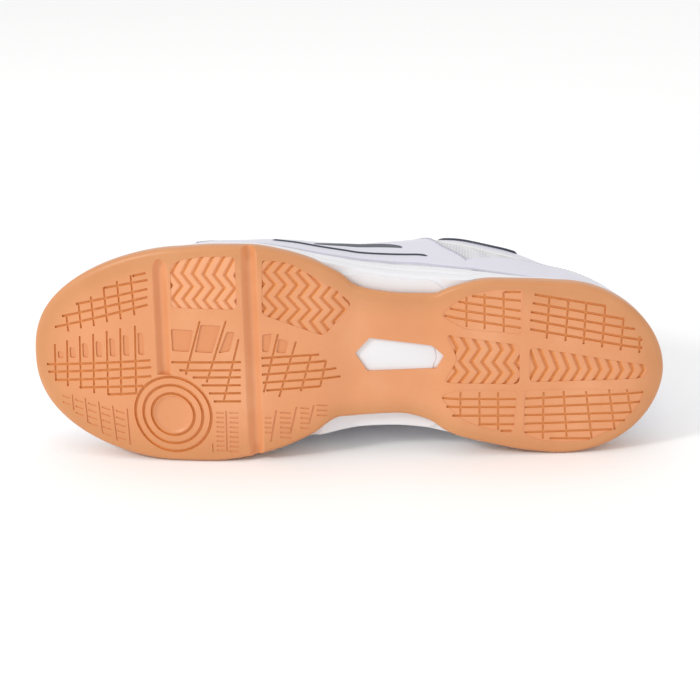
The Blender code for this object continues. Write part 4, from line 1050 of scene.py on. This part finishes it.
mesh_cells = cell_texture(mesh_cloth, 700.0, (1.0, 1.0, 0.8))
blend_colors(mesh_cloth, mesh_cells, ((0.05, (0.36, 0.36, 0.40)), (0.35, (0.62, 0.62, 0.65)),
                                      (0.8, (0.72, 0.72, 0.74))))
add_bump(mesh_cloth, ((mesh_cells, 0.5),), 0.0004)
add_bump(leather, ((noise(leather, 620.0, 5.0), 0.16), (noise(leather, 90.0), 0.05)), 0.0006)
add_bump(lining, ((noise(lining, 1500.0, 2.0, stretch=(1.0, 1.0, 0.35)), 0.4),), 0.0005)
add_bump(cream, ((noise(cream, 700.0, 4.0), 0.12),), 0.0005)

UPPER_ROWS, ROLL_ROWS = 34, 8
CREAM_LOW, CREAM_HIGH = 0.58, 0.66
LEATHER_BACK, LEATHER_TOP = 0.205, 0.93


def padding(turn, share):
    """Thickness of the wall: thin below and in front, padded around the ankle."""
    station = station_at(min(turn % 2.0, 2.0 - turn % 2.0))
    near_top = ease(0.45, 0.8, share) * (1.0 - ease(0.22, 0.31, station))
    return UPPER_WALL + (COLLAR_PADDING - UPPER_WALL) * near_top


def shell_point(index, row):
    turn = index / STEPS % 2.0
    if row <= UPPER_ROWS:
        return upper_point(turn, row / UPPER_ROWS)
    if row <= UPPER_ROWS + ROLL_ROWS:
        here, outward, rising = upper_frame(turn, 1.0)
        half = padding(turn, 1.0) / 2
        around = pi * (row - UPPER_ROWS) / ROLL_ROWS
        roll = outward * cos(around) + rising * sin(around) * 0.8
        return here + roll * half - outward * half
    share = max(1.0 - (row - UPPER_ROWS - ROLL_ROWS) / UPPER_ROWS, 0.0)
    return upper_point(turn, share, -padding(turn, share))


SHELL_ROWS = 2 * UPPER_ROWS + ROLL_ROWS + 1
shell_grid = mapped_grid(2 * STEPS, SHELL_ROWS, lambda index, row: shell_point(index, row % SHELL_ROWS))
upper = new_piece("upper_shell", shell_grid, [mesh_cloth[0], cream[0], lining[0], leather[0]], 60)
for face in upper.data.polygons:
    around, up = grid_middle(upper, face)
    share = up * SHELL_ROWS / UPPER_ROWS
    station = station_at(min(around * 2.0, 2.0 - around * 2.0))
    if share > 1.0 + ROLL_ROWS / UPPER_ROWS * 0.4:
        face.material_index = 2
    elif station < LEATHER_BACK or share > LEATHER_TOP:
        face.material_index = 3
    elif station < THROAT_BACK and share > CREAM_HIGH:
        face.material_index = 3
    elif station < THROAT_BACK and share > CREAM_LOW:
        face.material_index = 1
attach(upper, "root")
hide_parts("upper")

# Insole: a thin foam sheet with a textile top, which shows through the collar.

INSOLE_THICKNESS = 0.0040
INSOLE_INSET = UPPER_LEDGE + UPPER_WALL + 0.0008


def insole_height(share):
    def height(here):
        return bite_line(here) + GAP + INSOLE_THICKNESS * share
    return height


insole = new_piece("insole_sheet", sole_layer([
    ("bite", 1.0, 0.0, insole_height(0.0)), ("bite", 0.5, 0.0, insole_height(0.0)),
    ("bite", 0.0, INSOLE_INSET, insole_height(0.0)), ("bite", 0.0, INSOLE_INSET, insole_height(0.8)),
    ("bite", 0.0, INSOLE_INSET + 0.0006, insole_height(1.0)), ("bite", 0.5, 0.0, insole_height(1.0)),
    ("bite", 1.0, 0.0, insole_height(1.0)),
]), [lining[0]])
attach(insole, "root")
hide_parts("insole")

# Tongue: a padded strip under the throat, with a mesh face and a bound edge.

TONGUE_FRONT, TONGUE_BACK = 0.690, 0.315
TONGUE_HALF_FRONT, TONGUE_HALF_BACK = 0.0240, 0.0270
TONGUE_THICKNESS, TONGUE_CLEARANCE = 0.0045, 0.0016
TONGUE_ALONG, TONGUE_ROUND = 70, 56
TIP_START, TIP_NARROWING, TIP_POWER = 0.88, 0.5, 2.2
BINDING_SIDE, BINDING_END = 0.90, 0.95


def instep_point(station, across, lift):
    """A point on the last near its top line, moved along the surface's normal."""
    def surface(at, shift):
        side = 1.0 if shift > 0 else -1.0
        return place(*last_point(at, angle_at_width(at, side, abs(shift)), side))
    along = surface(station + 0.01, across) - surface(station - 0.01, across)
    over = surface(station, across + 0.0015) - surface(station, across - 0.0015)
    return surface(station, across) + along.cross(over).normalized() * lift


def tongue_point(index, row):
    t = min(max((index - 2) / (TONGUE_ALONG - 4), 0.0), 1.0)
    end = min(index, TONGUE_ALONG - index)
    plump = (0.0, 0.75, 1.0)[min(end, 2)]
    station = TONGUE_FRONT + (TONGUE_BACK - TONGUE_FRONT) * t
    half = TONGUE_HALF_FRONT + (TONGUE_HALF_BACK - TONGUE_HALF_FRONT) * t
    half *= 1.0 - TIP_NARROWING * max((t - TIP_START) / (1.0 - TIP_START), 0.0) ** TIP_POWER
    turn = 2.0 * pi * (row % TONGUE_ROUND) / TONGUE_ROUND
    across = half * cos(turn) * (1.0 if end else 0.0)
    thick = plump * copysign(abs(sin(turn)) ** 0.5, sin(turn))
    sunk = UPPER_WALL + TONGUE_CLEARANCE + TONGUE_THICKNESS * (0.5 - 0.5 * thick)
    return instep_point(station, across, -sunk)


tongue = new_piece("tongue_pad", mapped_grid(TONGUE_ALONG, TONGUE_ROUND, tongue_point),
                   [mesh_cloth[0], leather[0]], 60)
for face in tongue.data.polygons:
    along, around = grid_middle(tongue, face)
    if abs(cos(2.0 * pi * around)) > BINDING_SIDE or along > BINDING_END:
        face.material_index = 1
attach(tongue, "root")
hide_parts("tongue")

# Overlays: smooth synthetic leather panels, stitched on the shell along their edges.

OVERLAY_THICKNESS, OVERLAY_GAP = 0.0011, 0.0002
LOW_EDGE, STAY_BAND, STAY_TOP = 0.006, 0.20, 0.985
ON_PANEL = OVERLAY_GAP + OVERLAY_THICKNESS


def arch_between(ends, peak, power=2.0):
    return lambda t: ends + (peak - ends) * (1.0 - abs(2.0 * t - 1.0) ** power)


def panel(name, node, start, end, low, high, rows=26, look=leather, lift=OVERLAY_GAP, spread=1.6):
    """A panel between two turns and two edges, with a rounded rim all round."""
    columns = max(8, round((end - start) * STEPS))

    def point(column, row):
        t = min(max((column - 1) / (columns - 2), 0.0), 1.0)
        r = min(max((row - 1) / (rows - 2), 0.0), 1.0)
        rim = column in (0, columns) or row in (0, rows)
        share = low(t) + (high(t) - low(t)) * r ** spread
        near = min(t * (columns - 2), (1.0 - t) * (columns - 2), r * (rows - 2), (1.0 - r) * (rows - 2))
        crown = OVERLAY_THICKNESS * (0.72 + 0.28 * min(near / 1.5, 1.0))
        return upper_point(start + (end - start) * t, share, lift - 0.0003 if rim else lift + crown)

    piece = new_piece(name, mapped_grid(columns, rows, point), [look[0]], 50)
    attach(piece, "root")
    if node:
        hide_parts(node)


def cord(name, path, radius, look, steps=110, sides=8):
    """A round cord laid on the upper; path(t) gives its turn, share and lift."""
    def point(column, row):
        t = min(max((column - 1) / (steps - 2), 0.0), 1.0)
        turn, share, lift = path(t)
        here, outward, rising = upper_frame(turn, share)
        ahead = upper_point(*path(min(t + 0.01, 1.0))) - upper_point(*path(max(t - 0.01, 0.0)))
        sideways = ahead.cross(outward).normalized()
        size = radius if 0 < column < steps else 0.0
        around = 2.0 * pi * (row % sides) / sides
        return here + outward * (lift + size * sin(around)) + sideways * size * cos(around)

    piece = new_piece(name, mapped_grid(steps, sides, point), [look[0]], 70)
    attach(piece, "root")


thread = shader_of("thread_look", (0.50, 0.50, 0.55), 0.7)
THREAD_RADIUS = 0.00027


def stitching(name, paths):
    """Rows of short stitches; each path is a count and a function that gives turn, share and lift."""
    bm = bmesh.new()
    for count, path in paths:
        for k in range(count):
            start = upper_point(*path((k + 0.18) / count))
            end = upper_point(*path((k + 0.82) / count))
            turned = (end - start).to_track_quat("Z", "Y").to_matrix().to_4x4()
            position = Matrix.Translation((start + end) / 2) @ turned
            bmesh.ops.create_cone(bm, cap_ends=True, segments=6, radius1=THREAD_RADIUS, radius2=THREAD_RADIUS,
                                  depth=(end - start).length, matrix=position)
    piece = new_piece(name, bm, [thread[0]], 70)
    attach(piece, "root")


def beside(start, end, edge, inset, first=0.02, last=0.98):
    """A path along a panel's edge, at an inset from it."""
    def path(t):
        t = first + (last - first) * t
        return start + (end - start) * t, max(edge(t) - inset, LOW_EDGE), ON_PANEL + THREAD_RADIUS * 0.4
    return path


toe_edge = arch_between(0.30, 0.50)
counter_edge = arch_between(0.08, 0.76, 3.2)
quarter_edge = arch_between(0.08, 0.66, 2.3)
toe_start, toe_end = turn_of(0.80, 1), turn_of(0.80, -1)
counter_start, counter_end = -turn_of(0.298, 1), turn_of(0.298, 1)
outer_start, outer_end = turn_of(0.288, 1), turn_of(0.760, 1)
inner_start, inner_end = turn_of(0.760, -1), turn_of(0.288, -1)
stay_start, stay_end = turn_of(0.375, 1), turn_of(0.375, -1)

panel("toe_cap_panel", "toe_cap", toe_start, toe_end, lambda t: LOW_EDGE, toe_edge)
panel("quarter_outer_panel", "quarter_outer", outer_start, outer_end, lambda t: LOW_EDGE, quarter_edge)
panel("quarter_inner_panel", "quarter_inner", inner_start, inner_end, lambda t: LOW_EDGE, quarter_edge)
panel("heel_counter_panel", "heel_counter", counter_start, counter_end, lambda t: LOW_EDGE, counter_edge,
      lift=OVERLAY_GAP + 0.0004)
panel("eyestay_panel", "eyestay", stay_start, stay_end, lambda t: 1.0 - STAY_BAND - 0.02, lambda t: STAY_TOP,
      rows=12, spread=1.0)
stitching("quarter_stitching", [(92, beside(start, end, quarter_edge, inset))
                                for start, end in ((outer_start, outer_end), (inner_start, inner_end))
                                for inset in (0.025, 0.045)])
stitching("toe_and_heel_stitching", [
    (60, beside(toe_start, toe_end, toe_edge, 0.03)),
    *((110, beside(counter_start, counter_end, counter_edge, inset)) for inset in (0.025, 0.055)),
])
stitching("eyestay_stitching", [
    (150, beside(stay_start, stay_end, lambda t: 1.0 - STAY_BAND, -0.02)),
    (150, beside(stay_start, stay_end, lambda t: STAY_TOP, 0.03)),
])

# Plain accents: a navy cord along the collar's front half and low on the quarter, and a dark mesh vent
vent_mesh = shader_of("vent_look", (0.075, 0.088, 0.105), 0.6)
vent_cells = cell_texture(vent_mesh, 900.0)
add_bump(vent_mesh, ((vent_cells, 0.5),), 0.0004)
for word, side in (("outer", 1), ("inner", -1)):
    cord(f"collar_piping_{word}", lambda t, side=side: (
        turn_of(0.37 - 0.168 * t, side), 0.985, 0.0002 - 0.0016 * ease(0.93, 1.0, t)), 0.0008, navy)
    cord(f"quarter_piping_{word}", lambda t, side=side: (
        turn_of(0.630 - 0.275 * t, side), 0.095 - 0.050 * ease(0.0, 0.7, t), ON_PANEL - 0.0006
        - 0.0012 * (1.0 - ease(0.0, 0.05, min(t, 1.0 - t)))), 0.0012, navy)
    ends = sorted((turn_of(0.402, side), turn_of(0.560, side)))
    panel(f"quarter_vent_{word}", None, ends[0], ends[1], lambda t: 0.112 + 0.020 * sin(pi * t),
          lambda t: 0.120 + 0.020 * sin(pi * t) + 0.120 * sin(pi * t) ** 0.7,
          rows=10, look=vent_mesh, lift=ON_PANEL - 0.0009, spread=1.0)

# Lace: flat woven cord that runs through five pairs of eyelets; its ends stop at the top eyelets.

EYELET_ROWS, EYELET_MARGIN, LACE_SLACK = 5, 0.0050, 0.0009
LACE_WIDTH, LACE_THICKNESS = 0.0070, 0.0016
STRAP_STEPS, STRAP_SIDES = 30, 12
BAR_RAISE, UNDER_RAISE, OVER_RAISE = 0.0006, 0.0003, 0.0021
# Radius, height, lift and look of an eyelet's ring and of its hole, which is a dark disc of painted shade
EYELET_PARTS = ((0.0031, 0.0007, 0.0, 0), (0.0018, 0.0008, 0.00004, 1))

lace_cloth = shader_of("lace_look", (0.80, 0.80, 0.82), 0.85)
add_bump(lace_cloth, ((noise(lace_cloth, 1800.0, 1.0), 0.5),), 0.0004)
EYELETS = [THROAT_BACK + 0.005 + (THROAT_FRONT - THROAT_BACK - 0.01) * i / (EYELET_ROWS - 1)
           for i in range(EYELET_ROWS)]


def eyelet_across(station):
    along_throat = (station - THROAT_BACK) / (THROAT_FRONT - THROAT_BACK)
    return THROAT_HALF_BACK + (THROAT_HALF_FRONT - THROAT_HALF_BACK) * along_throat + EYELET_MARGIN


def strap(name, start, end, raise_by):
    """A flat strap from one eyelet over the throat to another, dipping into both."""
    travel = Vector(((end[0] - start[0]) * SHOE_LENGTH, end[1] - start[1])).normalized()
    lift = ON_PANEL + LACE_SLACK + LACE_THICKNESS / 2

    def point(index, row):
        t = index / STRAP_STEPS
        turn = 2.0 * pi * (row % STRAP_SIDES) / STRAP_SIDES
        wide, thick = cos(turn), copysign(abs(sin(turn)) ** 0.6, sin(turn))
        ends = min(t, 1.0 - t) * 2.0
        narrow = 0.45 + 0.55 * ease(0.0, 0.22, ends)
        dip = -0.0022 * (1.0 - ease(0.0, 0.12, ends))
        crown = raise_by * sin(pi * t) ** 2
        station = start[0] + (end[0] - start[0]) * t - travel.y * wide * narrow * LACE_WIDTH / 2 / SHOE_LENGTH
        across = start[1] + (end[1] - start[1]) * t + travel.x * wide * narrow * LACE_WIDTH / 2
        return instep_point(station, across, lift + crown + dip + thick * LACE_THICKNESS / 2)

    bm = mapped_grid(STRAP_STEPS, STRAP_SIDES, point)
    bmesh.ops.holes_fill(bm, edges=[edge for edge in bm.edges if edge.is_boundary], sides=0)
    piece = new_piece(name, bm, [lace_cloth[0]], 70)
    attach(piece, "root")
    return piece


front_row = EYELETS[-1]
front_half = eyelet_across(front_row)
bar = strap("lace_front_bar", (front_row, -front_half), (front_row, front_half), BAR_RAISE)
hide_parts("lace")
for number, (back, front) in enumerate(zip(EYELETS, EYELETS[1:])):
    strap(f"lace_under_{number}", (front, eyelet_across(front)), (back, -eyelet_across(back)), UNDER_RAISE)
    strap(f"lace_over_{number}", (front, -eyelet_across(front)), (back, eyelet_across(back)), OVER_RAISE)

# Eyelets: a flat ring around each hole that the lace goes through, with a dark disc of painted shade in the
# hole
eyelets = bmesh.new()
for station in EYELETS:
    for side in (1.0, -1.0):
        centre = instep_point(station, side * eyelet_across(station), ON_PANEL + 0.0002)
        raised = instep_point(station, side * eyelet_across(station), ON_PANEL + 0.0012)
        turned = (raised - centre).to_track_quat("Z", "Y").to_matrix().to_4x4()
        for radius, height, up, look in EYELET_PARTS:
            position = Matrix.Translation(centre) @ turned @ Matrix.Translation((0.0, 0.0, up))
            made = bmesh.ops.create_cone(eyelets, cap_ends=True, segments=28, radius1=radius,
                                         radius2=radius * 0.94, depth=height, matrix=position)
            for vertex in made["verts"]:
                for face in vertex.link_faces:
                    face.material_index = look
eyelet_rings = new_piece("eyelet_rings", eyelets, [leather[0], vent_mesh[0]], 40)
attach(eyelet_rings, "root")
